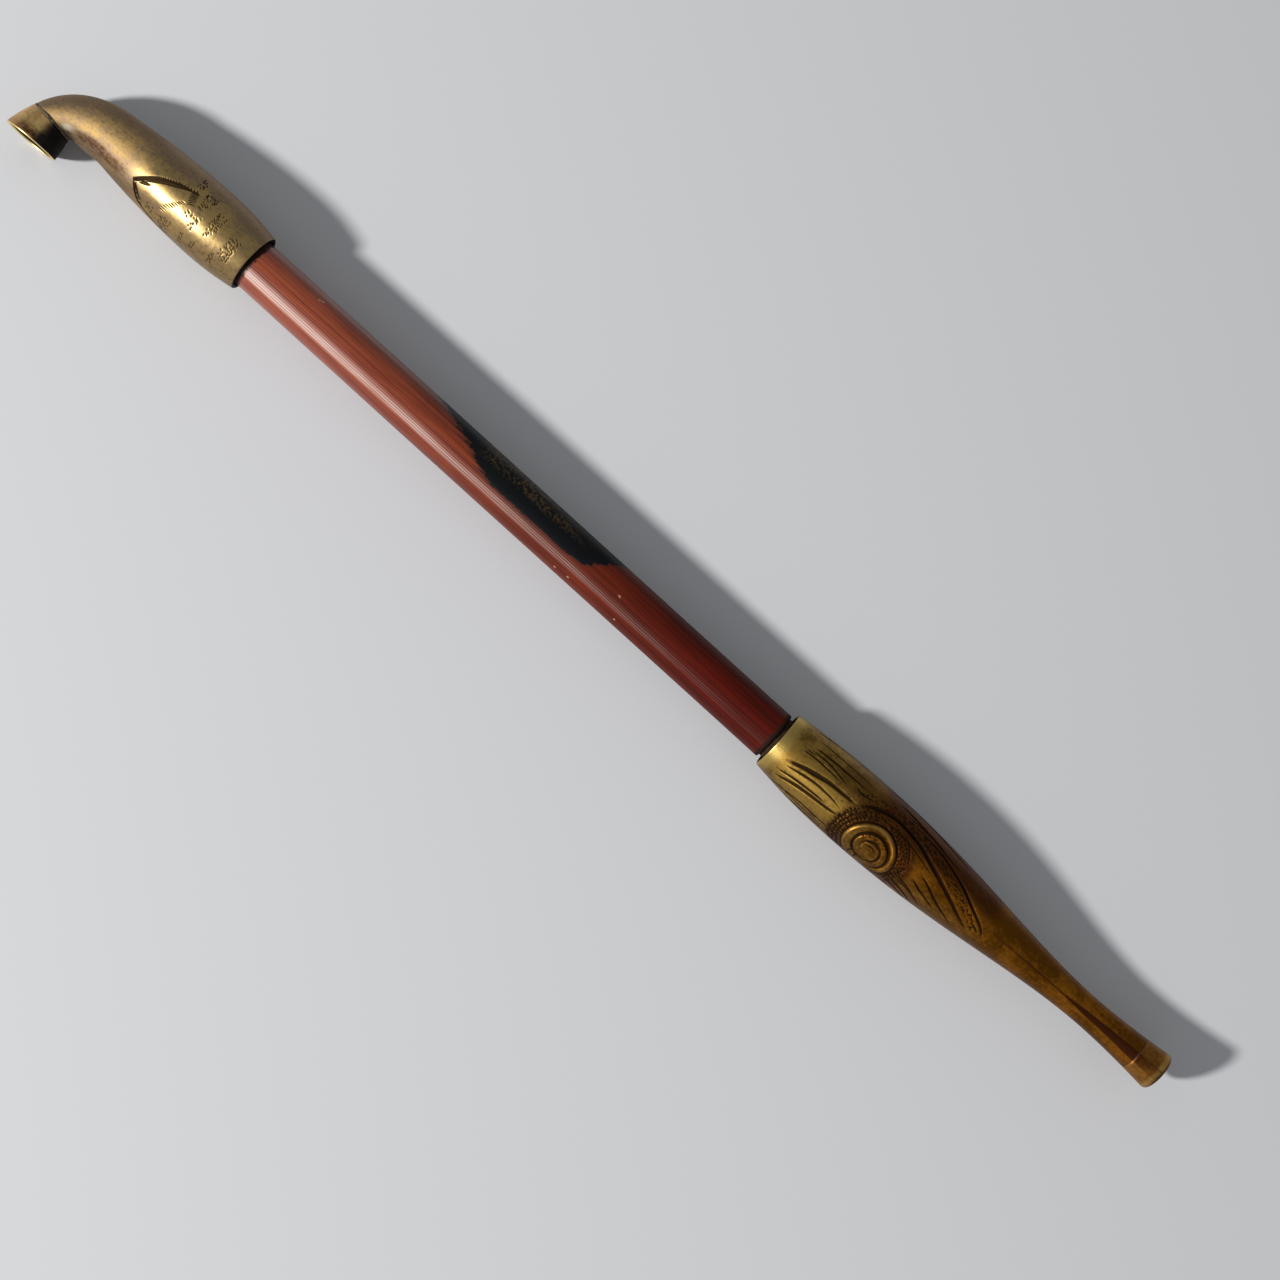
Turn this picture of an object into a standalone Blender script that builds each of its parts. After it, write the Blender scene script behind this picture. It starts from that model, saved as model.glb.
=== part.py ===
"""A long-stemmed smoking pipe lying on its side: brass head, bamboo tube, brass mouthpiece.

X runs along the stem from the head to the mouthpiece, Y is across it on the table, and Z is up.
The cup opens towards -Y and dips until its rim touches the table. Both metal ends push onto
shaved tenons of the bamboo, over a paper wrap that seals each joint. Distances along the head
are counted from its rim towards the cup, and along the mouthpiece from its rim to the tip.
"""

import math

import bmesh
import bpy
from mathutils import Vector

MM = 0.001
SEGMENTS = 36
SHARP_ANGLE = math.radians(35)
ALONG = Vector((1.0, 0.0, 0.0))
UP = Vector((0.0, 0.0, 1.0))

# Gaps between pieces that touch in the real pipe
JOINT_GAP = 0.3 * MM
WRAP_GAP = 0.2 * MM

# Bamboo stem
STEM_RADIUS = 4.6 * MM
STEM_BORE_RADIUS = 1.9 * MM
STEM_EXPOSED = 122.2 * MM
TENON_STEP = 0.55 * MM
TENON_LENGTH = 20.0 * MM
TENON_CHAMFER = 0.6 * MM
HEAD_INSET = 0.6 * MM
MOUTHPIECE_REVEAL = 0.8 * MM

# Sockets, and the paper wraps inside them
SOCKET_CLEARANCE = 0.35 * MM
SOCKET_END_CLEARANCE = 0.5 * MM
RIM_WALL = 0.62 * MM
WRAP_LENGTH = 15.0 * MM
WRAP_INSET = 1.2 * MM

# Head
HEAD_SWELL = 0.96 * MM
HEAD_BELLY_AT = 10.3 * MM
HEAD_STRAIGHT = 31.0 * MM
SOCKET_CONE = 4.0 * MM
NECK_START_RADIUS = 5.15 * MM
NECK_END_RADIUS = 3.95 * MM
NECK_TAPER = 1.0
NECK_BORE_RADIUS = 2.2 * MM
NECK_MOUTH_RADIUS = 3.05 * MM
NECK_REACH = 11.2 * MM
NECK_RISE = 5.0 * MM
NECK_HANDLE_START = 7.0 * MM
NECK_HANDLE_END = 2.0 * MM
NECK_ARRIVAL = math.radians(40.0)
NECK_STEPS = 10

# Cup, seated on the end of the neck with a ring of solder between them
CUP_LEAN = math.radians(5.7)
CUP_HEIGHT = 5.25 * MM
CUP_RIM_RADIUS = 5.05 * MM
CUP_RIM_SLANT = math.radians(8.8)
CUP_FLARE = 1.6
CUP_WALL = 0.55 * MM
CUP_SEAT_RADIUS = 2.75 * MM
CUP_SEAT_DEPTH = 0.9 * MM
CUP_FLOOR_THICKNESS = 0.6 * MM
CUP_HOLE_RADIUS = 1.1 * MM
SOLDER_THICKNESS = 0.3 * MM

# Mouthpiece
MOUTHPIECE_LENGTH = 87.6 * MM
MOUTHPIECE_SWELL = 1.15 * MM
MOUTHPIECE_BELLY_AT = 18.0 * MM
WAIST_FROM_TIP = 16.2 * MM
WAIST_RADIUS = 2.75 * MM
TAPER_SKEW = 1.2
SHELL_WALL = 1.4 * MM
SMOKE_BORE_RADIUS = 1.1 * MM
TIP_SET = 1.55 * MM
SET_FROM = 8.0 * MM
SET_POWER = 1.15

# Collar soldered on the mouthpiece's end, flared for the lips
COLLAR_LENGTH = 5.2 * MM
LIP_RADIUS = 3.65 * MM
LIP_FLARE = 1.8
LIP_ROUNDING = 0.8 * MM
SPIGOT_LENGTH = 2.4 * MM
SPIGOT_WALL = 0.9 * MM

# Sizes that follow
TENON_RADIUS = STEM_RADIUS - TENON_STEP
SOCKET_RADIUS = STEM_RADIUS + SOCKET_CLEARANCE
RIM_RADIUS = SOCKET_RADIUS + RIM_WALL
HEAD_BELLY_RADIUS = RIM_RADIUS + HEAD_SWELL
MOUTHPIECE_BELLY_RADIUS = RIM_RADIUS + MOUTHPIECE_SWELL
HEAD_SOCKET_DEPTH = HEAD_INSET + TENON_LENGTH + SOCKET_END_CLEARANCE
TENON_DEPTH = TENON_LENGTH - MOUTHPIECE_REVEAL
SPIGOT_RADIUS = SMOKE_BORE_RADIUS + SPIGOT_WALL
SOLDER_SPACE = SOLDER_THICKNESS + 2 * JOINT_GAP
COLLAR_AT = MOUTHPIECE_LENGTH - COLLAR_LENGTH
WAIST_AT = MOUTHPIECE_LENGTH - WAIST_FROM_TIP

# How it lies: on the wider belly and on the cup's rim, with its box centred on the origin
AXIS_HEIGHT = max(HEAD_BELLY_RADIUS, MOUTHPIECE_BELLY_RADIUS)
CUP_DIRECTION = Vector((-math.sin(CUP_LEAN), -math.cos(CUP_LEAN), 0.0))
NECK_END = Vector((-HEAD_STRAIGHT - NECK_REACH, -NECK_RISE, 0.0))
RIM_CENTRE = NECK_END + CUP_HEIGHT * CUP_DIRECTION
RIM_SPAN = math.hypot(RIM_CENTRE.y, CUP_RIM_RADIUS)
DIP = math.asin(AXIS_HEIGHT / RIM_SPAN) - math.atan2(CUP_RIM_RADIUS, -RIM_CENTRE.y)
SLANT_REACH = math.tan(CUP_RIM_SLANT) * math.sin(CUP_LEAN)
LEFT_END = RIM_CENTRE.x - CUP_RIM_RADIUS * (math.cos(CUP_LEAN) + SLANT_REACH)
RIGHT_END = STEM_EXPOSED + MOUTHPIECE_LENGTH
RIM_TILT = math.tan(CUP_RIM_SLANT) * math.cos(CUP_LEAN) - math.sin(CUP_LEAN)
RIM_REACH = CUP_RIM_RADIUS * math.hypot(RIM_TILT * math.cos(DIP), math.sin(DIP))
RIM_SIDE = RIM_CENTRE.y * math.cos(DIP) - RIM_REACH
AXIS_START = Vector(
    (-(LEFT_END + RIGHT_END) / 2, -(RIM_SIDE + MOUTHPIECE_BELLY_RADIUS) / 2, AXIS_HEIGHT)
)


def material(name, colour, metallic, roughness):
    made = bpy.data.materials.new(name)
    made.use_nodes = True
    shader = made.node_tree.nodes["Principled BSDF"]
    shader.inputs["Base Color"].default_value = (*colour, 1.0)
    shader.inputs["Metallic"].default_value = metallic
    shader.inputs["Roughness"].default_value = roughness
    return made


def empty(name, parent=None):
    made = bpy.data.objects.new(name, None)
    made.parent = parent
    bpy.context.collection.objects.link(made)
    return made


def solid(name, bm, parent, surface):
    """Turns a closed bmesh into a smooth-shaded object."""
    bmesh.ops.recalc_face_normals(bm, faces=bm.faces)
    mesh = bpy.data.meshes.new(name)
    bm.to_mesh(mesh)
    bm.free()
    mesh.materials.append(surface)
    mesh.shade_smooth()
    mesh.set_sharp_from_angle(angle=SHARP_ANGLE)
    made = bpy.data.objects.new(name, mesh)
    made.parent = parent
    bpy.context.collection.objects.link(made)
    return made


def turned(name, outline, parent, surface):
    """Spins a closed outline of (along, radius) points about the local X axis."""
    bm = bmesh.new()
    points = [bm.verts.new((along, 0.0, radius)) for along, radius in outline]
    sides = [bm.edges.new((points[i - 1], points[i])) for i in range(len(points))]
    bmesh.ops.spin(
        bm,
        geom=points + sides,
        cent=(0.0, 0.0, 0.0),
        axis=ALONG,
        angle=math.tau,
        steps=SEGMENTS,
        use_merge=True,
    )
    return solid(name, bm, parent, surface)


def lofted(name, sections, parent, surface):
    """Skins a closed sequence of (centre, direction, radius) rings, whose directions lie flat."""
    bm = bmesh.new()
    rings = []
    for centre, direction, radius in sections:
        side = direction.cross(UP).normalized()
        turns = [math.tau * step / SEGMENTS for step in range(SEGMENTS)]
        spokes = [math.cos(turn) * UP + math.sin(turn) * side for turn in turns]
        rings.append([bm.verts.new(centre + radius * spoke) for spoke in spokes])
    for before, after in zip(rings, rings[1:] + rings[:1]):
        for i in range(SEGMENTS):
            bm.faces.new((before[i - 1], before[i], after[i], after[i - 1]))
    return solid(name, bm, parent, surface)


def stations(start, end, count):
    """Evenly spaced distances from start to end, both included."""
    return [start + (end - start) * step / count for step in range(count + 1)]


# Stem


def build_stem(parent, surface):
    """The tube, with a shaved and chamfered tenon at each end."""
    head_shoulder = -HEAD_INSET
    head_end = head_shoulder - TENON_LENGTH
    mouthpiece_shoulder = STEM_EXPOSED - MOUTHPIECE_REVEAL
    mouthpiece_end = mouthpiece_shoulder + TENON_LENGTH
    outline = [
        (head_end, STEM_BORE_RADIUS),
        (head_end, TENON_RADIUS - TENON_CHAMFER),
        (head_end + TENON_CHAMFER, TENON_RADIUS),
        (head_shoulder, TENON_RADIUS),
        (head_shoulder, STEM_RADIUS),
        (mouthpiece_shoulder, STEM_RADIUS),
        (mouthpiece_shoulder, TENON_RADIUS),
        (mouthpiece_end - TENON_CHAMFER, TENON_RADIUS),
        (mouthpiece_end, TENON_RADIUS - TENON_CHAMFER),
        (mouthpiece_end, STEM_BORE_RADIUS),
    ]
    return turned("bamboo_stem", outline, parent, surface)


def build_wrap(name, shoulder, outward, parent, surface):
    """A paper sleeve on a tenon, starting a little way from the tenon's shoulder."""
    near = shoulder + outward * WRAP_INSET
    far = near + outward * WRAP_LENGTH
    inner = TENON_RADIUS + WRAP_GAP
    outer = SOCKET_RADIUS - WRAP_GAP
    outline = [(near, inner), (near, outer), (far, outer), (far, inner)]
    return turned(name, outline, parent, surface)


# Head


def shoulder_radius(distance):
    """Outer radius of the head's straight part: a parabola up to the belly and one down to the neck."""
    if distance < HEAD_BELLY_AT:
        return HEAD_BELLY_RADIUS - HEAD_SWELL * (1 - distance / HEAD_BELLY_AT) ** 2
    share = (distance - HEAD_BELLY_AT) / (HEAD_STRAIGHT - HEAD_BELLY_AT)
    return HEAD_BELLY_RADIUS - (HEAD_BELLY_RADIUS - NECK_START_RADIUS) * share**2


def neck_curve(share):
    """Centre and facing of the neck, on a Bezier curve from the straight part to the cup.

    The neck comes in at a slant, so its rings turn little by little to face the cup squarely.
    """
    start = Vector((-HEAD_STRAIGHT, 0.0, 0.0))
    first = start - NECK_HANDLE_START * ALONG
    arrival = Vector((-math.sin(NECK_ARRIVAL), -math.cos(NECK_ARRIVAL), 0.0))
    second = NECK_END - NECK_HANDLE_END * arrival
    rest = 1 - share
    centre = rest**3 * start + share**3 * NECK_END
    centre += 3 * rest**2 * share * first + 3 * rest * share**2 * second
    direction = rest**2 * (first - start) + share**2 * (NECK_END - second)
    direction += 2 * rest * share * (second - first)
    facing = direction.normalized().lerp(CUP_DIRECTION, share**2)
    return centre, facing.normalized()


def neck_radius(share):
    return NECK_END_RADIUS + (NECK_START_RADIUS - NECK_END_RADIUS) * (1 - share) ** NECK_TAPER


def neck_bore(share):
    """The smoke passage, opening out under the cup over the last half of the neck."""
    widening = max(0.0, 2 * share - 1) ** 2
    return NECK_BORE_RADIUS + (NECK_MOUTH_RADIUS - NECK_BORE_RADIUS) * widening


def build_head(parent, surface):
    """Socket, shoulder and turned-up neck in one shell with its passage."""
    towards_cup = -ALONG
    cone_end = HEAD_SOCKET_DEPTH + SOCKET_CONE
    outside = stations(0.0, HEAD_BELLY_AT, 5) + stations(HEAD_BELLY_AT, HEAD_STRAIGHT, 5)[1:]
    sections = [(d * towards_cup, towards_cup, shoulder_radius(d)) for d in outside]
    neck = stations(0.0, 1.0, NECK_STEPS)[1:]
    sections += [(*neck_curve(share), neck_radius(share)) for share in neck]
    sections += [(*neck_curve(share), neck_bore(share)) for share in reversed(neck)]
    sections.append((cone_end * towards_cup, towards_cup, NECK_BORE_RADIUS))
    sections.append((HEAD_SOCKET_DEPTH * towards_cup, towards_cup, SOCKET_RADIUS))
    sections.append((Vector(), towards_cup, SOCKET_RADIUS))
    return lofted("head", sections, parent, surface)


def cup_radius(height):
    """Outer radius of the cup at a height above the neck's end."""
    share = (height - SOLDER_SPACE) / (CUP_HEIGHT - SOLDER_SPACE)
    base = NECK_END_RADIUS + JOINT_GAP
    return base + (CUP_RIM_RADIUS - base) * (1 - (1 - share) ** CUP_FLARE)


def build_cup(parent, surface):
    """An open cup whose round bottom dips into the neck and has one hole for the smoke.

    Its wall is longer on the side away from the stem, so that its rim slants back.
    """
    bottom = SOLDER_SPACE - CUP_SEAT_DEPTH
    floor = bottom + CUP_FLOOR_THICKNESS
    outside = stations(SOLDER_SPACE, CUP_HEIGHT, 6)
    inside = stations(CUP_HEIGHT, SOLDER_SPACE + 2 * CUP_WALL, 5)
    outline = [(height, cup_radius(height)) for height in outside]
    outline += [(height, cup_radius(height) - CUP_WALL) for height in inside]
    outline += [
        (SOLDER_SPACE + 1.5 * CUP_WALL, CUP_SEAT_RADIUS + CUP_WALL),
        (floor + CUP_WALL, CUP_SEAT_RADIUS - CUP_WALL),
        (floor, CUP_HOLE_RADIUS),
        (bottom, CUP_HOLE_RADIUS),
        (bottom, CUP_SEAT_RADIUS - CUP_WALL),
        (bottom + CUP_WALL, CUP_SEAT_RADIUS),
        (SOLDER_SPACE, CUP_SEAT_RADIUS),
    ]
    cup = turned("fire_cup", outline, parent, surface)
    for vertex in cup.data.vertices:
        share = max(0.0, (vertex.co.x - SOLDER_SPACE) / (CUP_HEIGHT - SOLDER_SPACE))
        vertex.co.x -= share * math.tan(CUP_RIM_SLANT) * vertex.co.y
    return cup


def build_cup_solder(parent, surface):
    low = JOINT_GAP
    high = low + SOLDER_THICKNESS
    inner = CUP_SEAT_RADIUS + JOINT_GAP
    outer = NECK_END_RADIUS
    outline = [(low, inner), (low, outer), (high, outer), (high, inner)]
    return turned("cup_solder", outline, parent, surface)


# Mouthpiece


def mouthpiece_radius(distance):
    """Outer radius: out to the belly, down a long taper to the waist, and out to the lip."""
    if distance < MOUTHPIECE_BELLY_AT:
        share = 1 - distance / MOUTHPIECE_BELLY_AT
        return MOUTHPIECE_BELLY_RADIUS - MOUTHPIECE_SWELL * share**2
    if distance < WAIST_AT:
        share = (distance - MOUTHPIECE_BELLY_AT) / (WAIST_AT - MOUTHPIECE_BELLY_AT)
        skewed = share**TAPER_SKEW
        drop = skewed * skewed * (3 - 2 * skewed)
        return MOUTHPIECE_BELLY_RADIUS - (MOUTHPIECE_BELLY_RADIUS - WAIST_RADIUS) * drop
    flare_end = MOUTHPIECE_LENGTH - LIP_ROUNDING
    share = min(1.0, (distance - WAIST_AT) / (flare_end - WAIST_AT))
    return WAIST_RADIUS + (LIP_RADIUS - WAIST_RADIUS) * share**LIP_FLARE


def mouthpiece_bore(distance):
    """Straight in the socket, then a wall's thickness inside the taper, then the smoke hole."""
    if distance > WAIST_AT:
        return SMOKE_BORE_RADIUS
    inside = mouthpiece_radius(distance) - SHELL_WALL
    return max(SMOKE_BORE_RADIUS, min(SOCKET_RADIUS, inside))


def set_of(distance):
    """How far the mouthpiece has bent sideways at a distance from its rim."""
    share = max(0.0, (distance - SET_FROM) / (MOUTHPIECE_LENGTH - SET_FROM))
    return TIP_SET * share**SET_POWER


def outer_section(distance, radius):
    centre = Vector((STEM_EXPOSED + distance, set_of(distance), 0.0))
    return centre, ALONG, radius


def inner_section(distance, radius):
    """As outer_section, but true to the stem's axis for as long as the tenon reaches."""
    share = (distance - TENON_DEPTH) / TENON_DEPTH
    follow = min(1.0, max(0.0, share))
    centre = Vector((STEM_EXPOSED + distance, follow * set_of(distance), 0.0))
    return centre, ALONG, radius


def build_mouthpiece(parent, surface):
    """The tapering tube, from its socket to the spigot that holds the collar."""
    shoulder = COLLAR_AT - SOLDER_SPACE
    spigot_end = COLLAR_AT + SPIGOT_LENGTH
    outside = stations(0.0, MOUTHPIECE_BELLY_AT, 6)
    outside += stations(MOUTHPIECE_BELLY_AT, WAIST_AT, 11)[1:]
    outside += stations(WAIST_AT, shoulder, 3)[1:]
    sections = [outer_section(d, mouthpiece_radius(d)) for d in outside]
    sections.append(outer_section(shoulder, SPIGOT_RADIUS))
    sections.append(outer_section(spigot_end, SPIGOT_RADIUS))
    sections.append(outer_section(spigot_end, SMOKE_BORE_RADIUS))
    inside = stations(WAIST_AT, 2 * TENON_DEPTH, 7) + stations(2 * TENON_DEPTH, TENON_DEPTH, 2)[1:]
    sections.append(outer_section(WAIST_AT + SPIGOT_LENGTH, SMOKE_BORE_RADIUS))
    sections += [inner_section(d, mouthpiece_bore(d)) for d in inside]
    sections.append(inner_section(0.0, SOCKET_RADIUS))
    return lofted("mouthpiece", sections, parent, surface)


def build_collar_solder(parent, surface):
    low = COLLAR_AT - JOINT_GAP - SOLDER_THICKNESS
    high = COLLAR_AT - JOINT_GAP
    inner = SPIGOT_RADIUS + JOINT_GAP
    sections = [
        outer_section(low, inner),
        outer_section(low, mouthpiece_radius(low)),
        outer_section(high, mouthpiece_radius(high)),
        outer_section(high, inner),
    ]
    return lofted("collar_solder", sections, parent, surface)


def build_collar(parent, surface):
    """The flared end for the lips, counterbored for the spigot."""
    flare_end = MOUTHPIECE_LENGTH - LIP_ROUNDING
    pocket_end = COLLAR_AT + SPIGOT_LENGTH + JOINT_GAP
    pocket_radius = SPIGOT_RADIUS + JOINT_GAP
    sections = [outer_section(d, mouthpiece_radius(d)) for d in stations(COLLAR_AT, flare_end, 3)]
    for turn in stations(0.0, math.pi / 2, 4)[1:]:
        distance = flare_end + LIP_ROUNDING * math.sin(turn)
        sections.append(outer_section(distance, LIP_RADIUS - LIP_ROUNDING * (1 - math.cos(turn))))
    sections += [
        outer_section(MOUTHPIECE_LENGTH, SMOKE_BORE_RADIUS),
        outer_section(pocket_end, SMOKE_BORE_RADIUS),
        outer_section(pocket_end, pocket_radius),
        outer_section(COLLAR_AT, pocket_radius),
    ]
    return lofted("lip_collar", sections, parent, surface)


def clear_scene():
    for thing in list(bpy.data.objects):
        bpy.data.objects.remove(thing, do_unlink=True)


def build_pipe():
    pipe_axis = empty("pipe_axis")
    pipe_axis.location = AXIS_START
    head_axis = empty("head_axis", pipe_axis)
    head_axis.rotation_euler.x = DIP
    cup_axis = empty("cup_axis", head_axis)
    cup_axis.location = NECK_END
    cup_axis.rotation_euler.z = -math.pi / 2 - CUP_LEAN

    bamboo = material("bamboo", (0.28, 0.06, 0.02), 0.0, 0.35)
    head_paper = material("head_paper", (0.35, 0.25, 0.14), 0.0, 0.9)
    mouthpiece_paper = material("mouthpiece_paper", (0.30, 0.21, 0.12), 0.0, 0.9)
    head_brass = material("head_brass", (0.32, 0.24, 0.09), 1.0, 0.42)
    cup_brass = material("cup_brass", (0.48, 0.33, 0.10), 1.0, 0.38)
    cup_solder = material("cup_solder", (0.16, 0.13, 0.09), 1.0, 0.6)
    mouthpiece_brass = material("mouthpiece_brass", (0.40, 0.27, 0.08), 1.0, 0.36)
    collar_brass = material("collar_brass", (0.42, 0.28, 0.08), 1.0, 0.34)
    collar_solder = material("collar_solder", (0.14, 0.08, 0.05), 1.0, 0.6)

    build_stem(pipe_axis, bamboo)
    build_wrap("head_wrap", -HEAD_INSET, -1, pipe_axis, head_paper)
    mouthpiece_shoulder = STEM_EXPOSED - MOUTHPIECE_REVEAL
    build_wrap("mouthpiece_wrap", mouthpiece_shoulder, 1, pipe_axis, mouthpiece_paper)
    build_head(head_axis, head_brass)
    build_cup(cup_axis, cup_brass)
    build_cup_solder(cup_axis, cup_solder)
    build_mouthpiece(pipe_axis, mouthpiece_brass)
    build_collar(pipe_axis, collar_brass)
    build_collar_solder(pipe_axis, collar_solder)


clear_scene()
build_pipe()
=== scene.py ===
# %% [markdown]
# # A long-stemmed tobacco pipe
# The pipe has a brass head with a small turned-up cup, a tube of dyed bamboo and a long brass
# mouthpiece. Both metal ends push onto the tube over a roll of paper. The CAD model fixes every
# size and place, so each piece here is made in millimetres about the CAD's own axes. A piece
# rides on its CAD body, so that it follows when a joint turns or slides.

# %% Load the CAD model
import math
import random

import bmesh
import bpy
import numpy as np
from mathutils import Matrix, Vector


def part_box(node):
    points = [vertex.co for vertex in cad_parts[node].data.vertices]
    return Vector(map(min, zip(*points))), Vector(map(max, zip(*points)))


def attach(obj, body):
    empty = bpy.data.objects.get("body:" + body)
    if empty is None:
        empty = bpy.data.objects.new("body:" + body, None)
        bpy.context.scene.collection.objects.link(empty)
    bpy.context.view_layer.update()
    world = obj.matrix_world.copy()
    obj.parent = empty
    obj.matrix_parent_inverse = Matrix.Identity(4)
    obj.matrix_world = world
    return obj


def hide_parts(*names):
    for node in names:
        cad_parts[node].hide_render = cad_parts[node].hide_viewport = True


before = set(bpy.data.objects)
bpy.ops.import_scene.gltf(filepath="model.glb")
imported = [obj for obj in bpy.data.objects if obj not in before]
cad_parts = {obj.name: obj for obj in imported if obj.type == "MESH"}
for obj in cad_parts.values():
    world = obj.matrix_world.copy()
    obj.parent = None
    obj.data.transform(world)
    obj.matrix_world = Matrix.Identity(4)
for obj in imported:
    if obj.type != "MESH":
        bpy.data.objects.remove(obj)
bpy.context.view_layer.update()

MM = 0.001

# %% [markdown]
# ## Where the axes are
# The stem's box gives the main axis: its middle across and its height. Distances on the head are
# counted from its rim towards the cup, and on the mouthpiece from its rim towards the lips. The
# head is turned a little about the stem, so that its cup leans down to the table.

# %% Find the axes
stem_low, stem_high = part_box("bamboo_stem")
TENON_LENGTH = 20.0
HEAD_INSET = 0.6
HEAD_DIP = math.radians(9.8215)
stem_middle = (stem_low + stem_high) / 2
axis_start = Vector((stem_low.x + (TENON_LENGTH + HEAD_INSET) * MM, stem_middle.y, stem_middle.z))
mouth_start = Vector((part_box("mouthpiece")[0].x, axis_start.y, axis_start.z))
pipe_axis = Matrix.Translation(axis_start)
head_axis = pipe_axis @ Matrix.Rotation(HEAD_DIP, 4, "X")
mouth_axis = Matrix.Translation(mouth_start)
print("head rim", axis_start, "mouthpiece rim", mouth_start)

# %% [markdown]
# ## Floor
# The pipe lies on one big pale plane. Its colour stays below white, so that the shadow and the
# light on it both show.

# %% Lay the floor
bpy.ops.mesh.primitive_plane_add(size=4.0)
floor = bpy.context.object
floor.name = "floor"
floor_paint = bpy.data.materials.new("floor_paint")
floor_paint.use_nodes = True
floor_shader = floor_paint.node_tree.nodes["Principled BSDF"]
floor_shader.inputs["Base Color"].default_value = (0.64, 0.64, 0.65, 1.0)
floor_shader.inputs["Roughness"].default_value = 0.9
floor.data.materials.append(floor_paint)
print("floor colour", list(floor_shader.inputs["Base Color"].default_value)[:3])

# %% [markdown]
# ## Light
# One round studio lamp stands low over the near side, by the head. It gives the bright line along
# the metal and a shadow on the far side that grows towards the lips. A pale world fills the rest,
# so that no side of the brass turns black.

# %% Hang the lamp and fill the world
LAMP_PLACE = Vector((-0.70, -0.96, 0.76))
LIGHT_LEVEL = 3.7
lamp = bpy.data.lights.new("studio_lamp", "AREA")
lamp.shape = "DISK"
lamp.size = 0.13
lamp.energy = LIGHT_LEVEL * math.pi * LAMP_PLACE.length_squared
lamp_holder = bpy.data.objects.new("studio_lamp", lamp)
bpy.context.collection.objects.link(lamp_holder)
lamp_holder.location = LAMP_PLACE
lamp_holder.rotation_mode = "QUATERNION"
lamp_holder.rotation_quaternion = LAMP_PLACE.to_track_quat("Z", "Y")

room = bpy.data.worlds.new("pale_room")
bpy.context.scene.world = room
room.use_nodes = True
room.node_tree.nodes["Background"].inputs["Color"].default_value = (0.92, 0.96, 1.0, 1.0)
room.node_tree.nodes["Background"].inputs["Strength"].default_value = 0.30
bpy.context.scene.view_settings.view_transform = "Standard"
print("lamp", round(lamp.energy, 1), "W at", round(LAMP_PLACE.length, 2), "m")

# %% [markdown]
# ## Camera
# The camera looks down from almost straight above, leaning a little towards the near side. Its
# frame is turned, so that the pipe runs from the upper left to the lower right. Three unit vectors
# say which way is right, up and back, and they become the columns of its matrix.

# %% Set the camera
CAMERA_TILT = math.radians(13.5)
CAMERA_DISTANCE = 0.420
VIEW_ANGLE = math.radians(29.45)
AIM = Vector((0.01208, -0.00121, 0.00672))
TURN_COS, TURN_SIN = 0.7405, 0.6721
right = Vector((TURN_COS, TURN_SIN * math.cos(CAMERA_TILT), TURN_SIN * math.sin(CAMERA_TILT)))
up = Vector((-TURN_SIN, TURN_COS * math.cos(CAMERA_TILT), TURN_COS * math.sin(CAMERA_TILT)))
back = right.cross(up)
lens = bpy.data.cameras.new("camera")
lens.sensor_width = 36.0
lens.lens = lens.sensor_width / 2 / math.tan(VIEW_ANGLE / 2)
lens.clip_start = 0.01
camera = bpy.data.objects.new("camera", lens)
bpy.context.collection.objects.link(camera)
stance = Matrix((right, up, back)).transposed().to_4x4()
stance.translation = AIM + back * CAMERA_DISTANCE
camera.matrix_world = stance
bpy.context.scene.camera = camera
print("lens", round(lens.lens, 1), "mm at", round(CAMERA_DISTANCE * 1000), "mm")

# %% [markdown]
# ## Turning a piece
# Every piece of the pipe is round with a hole through it, so each starts as one closed outline
# that is spun round the X axis. Spinning a closed outline leaves no pole and no open edge.

# %% Helpers that turn, read and move a mesh
def turned(name, outline, steps):
    """Spins a closed outline of (along, radius) points in millimetres about X."""
    bm = bmesh.new()
    points = [bm.verts.new((along * MM, 0.0, radius * MM)) for along, radius in outline]
    for i in range(len(points)):
        bm.edges.new((points[i - 1], points[i]))
    bmesh.ops.spin(
        bm,
        geom=bm.verts[:] + bm.edges[:],
        cent=(0.0, 0.0, 0.0),
        axis=(1.0, 0.0, 0.0),
        angle=math.tau,
        steps=steps,
        use_merge=True,
    )
    bmesh.ops.recalc_face_normals(bm, faces=bm.faces)
    mesh = bpy.data.meshes.new(name)
    bm.to_mesh(mesh)
    bm.free()
    mesh.shade_smooth()
    mesh.set_sharp_from_angle(angle=math.radians(50))
    piece = bpy.data.objects.new(name, mesh)
    bpy.context.collection.objects.link(piece)
    return piece


def rows(start, end, step):
    """Distances from start to end in equal steps of about that size, both included."""
    return list(np.linspace(start, end, max(2, round(abs(end - start) / step) + 1)))


def rounding(along, radius, size, first, last, count=4):
    """Points on a small round corner about a centre, between two angles in degrees."""
    turns = [math.radians(a) for a in np.linspace(first, last, count)]
    return [(along + size * math.cos(t), radius + size * math.sin(t)) for t in turns]


def read_points(piece):
    """The points in millimetres, how far along X each lies, and its radius and angle about X.

    An angle is in degrees, from the top towards the near side.
    """
    flat = np.zeros(len(piece.data.vertices) * 3)
    piece.data.vertices.foreach_get("co", flat)
    points = flat.reshape(-1, 3) / MM
    radius = np.hypot(points[:, 1], points[:, 2])
    return points, points[:, 0].copy(), radius, np.degrees(np.arctan2(-points[:, 1], points[:, 2]))


def move_points(piece, points, axis):
    """Writes points in millimetres back, and sets them in place about an axis of the pipe."""
    points = points @ np.array(axis.to_3x3()).T * MM + np.array(axis.translation)
    piece.data.vertices.foreach_set("co", points.ravel())
    piece.data.update()


def around(radius, angle):
    """The sideways and upward parts of a radius at an angle."""
    return -radius * np.sin(np.radians(angle)), radius * np.cos(np.radians(angle))


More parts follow.
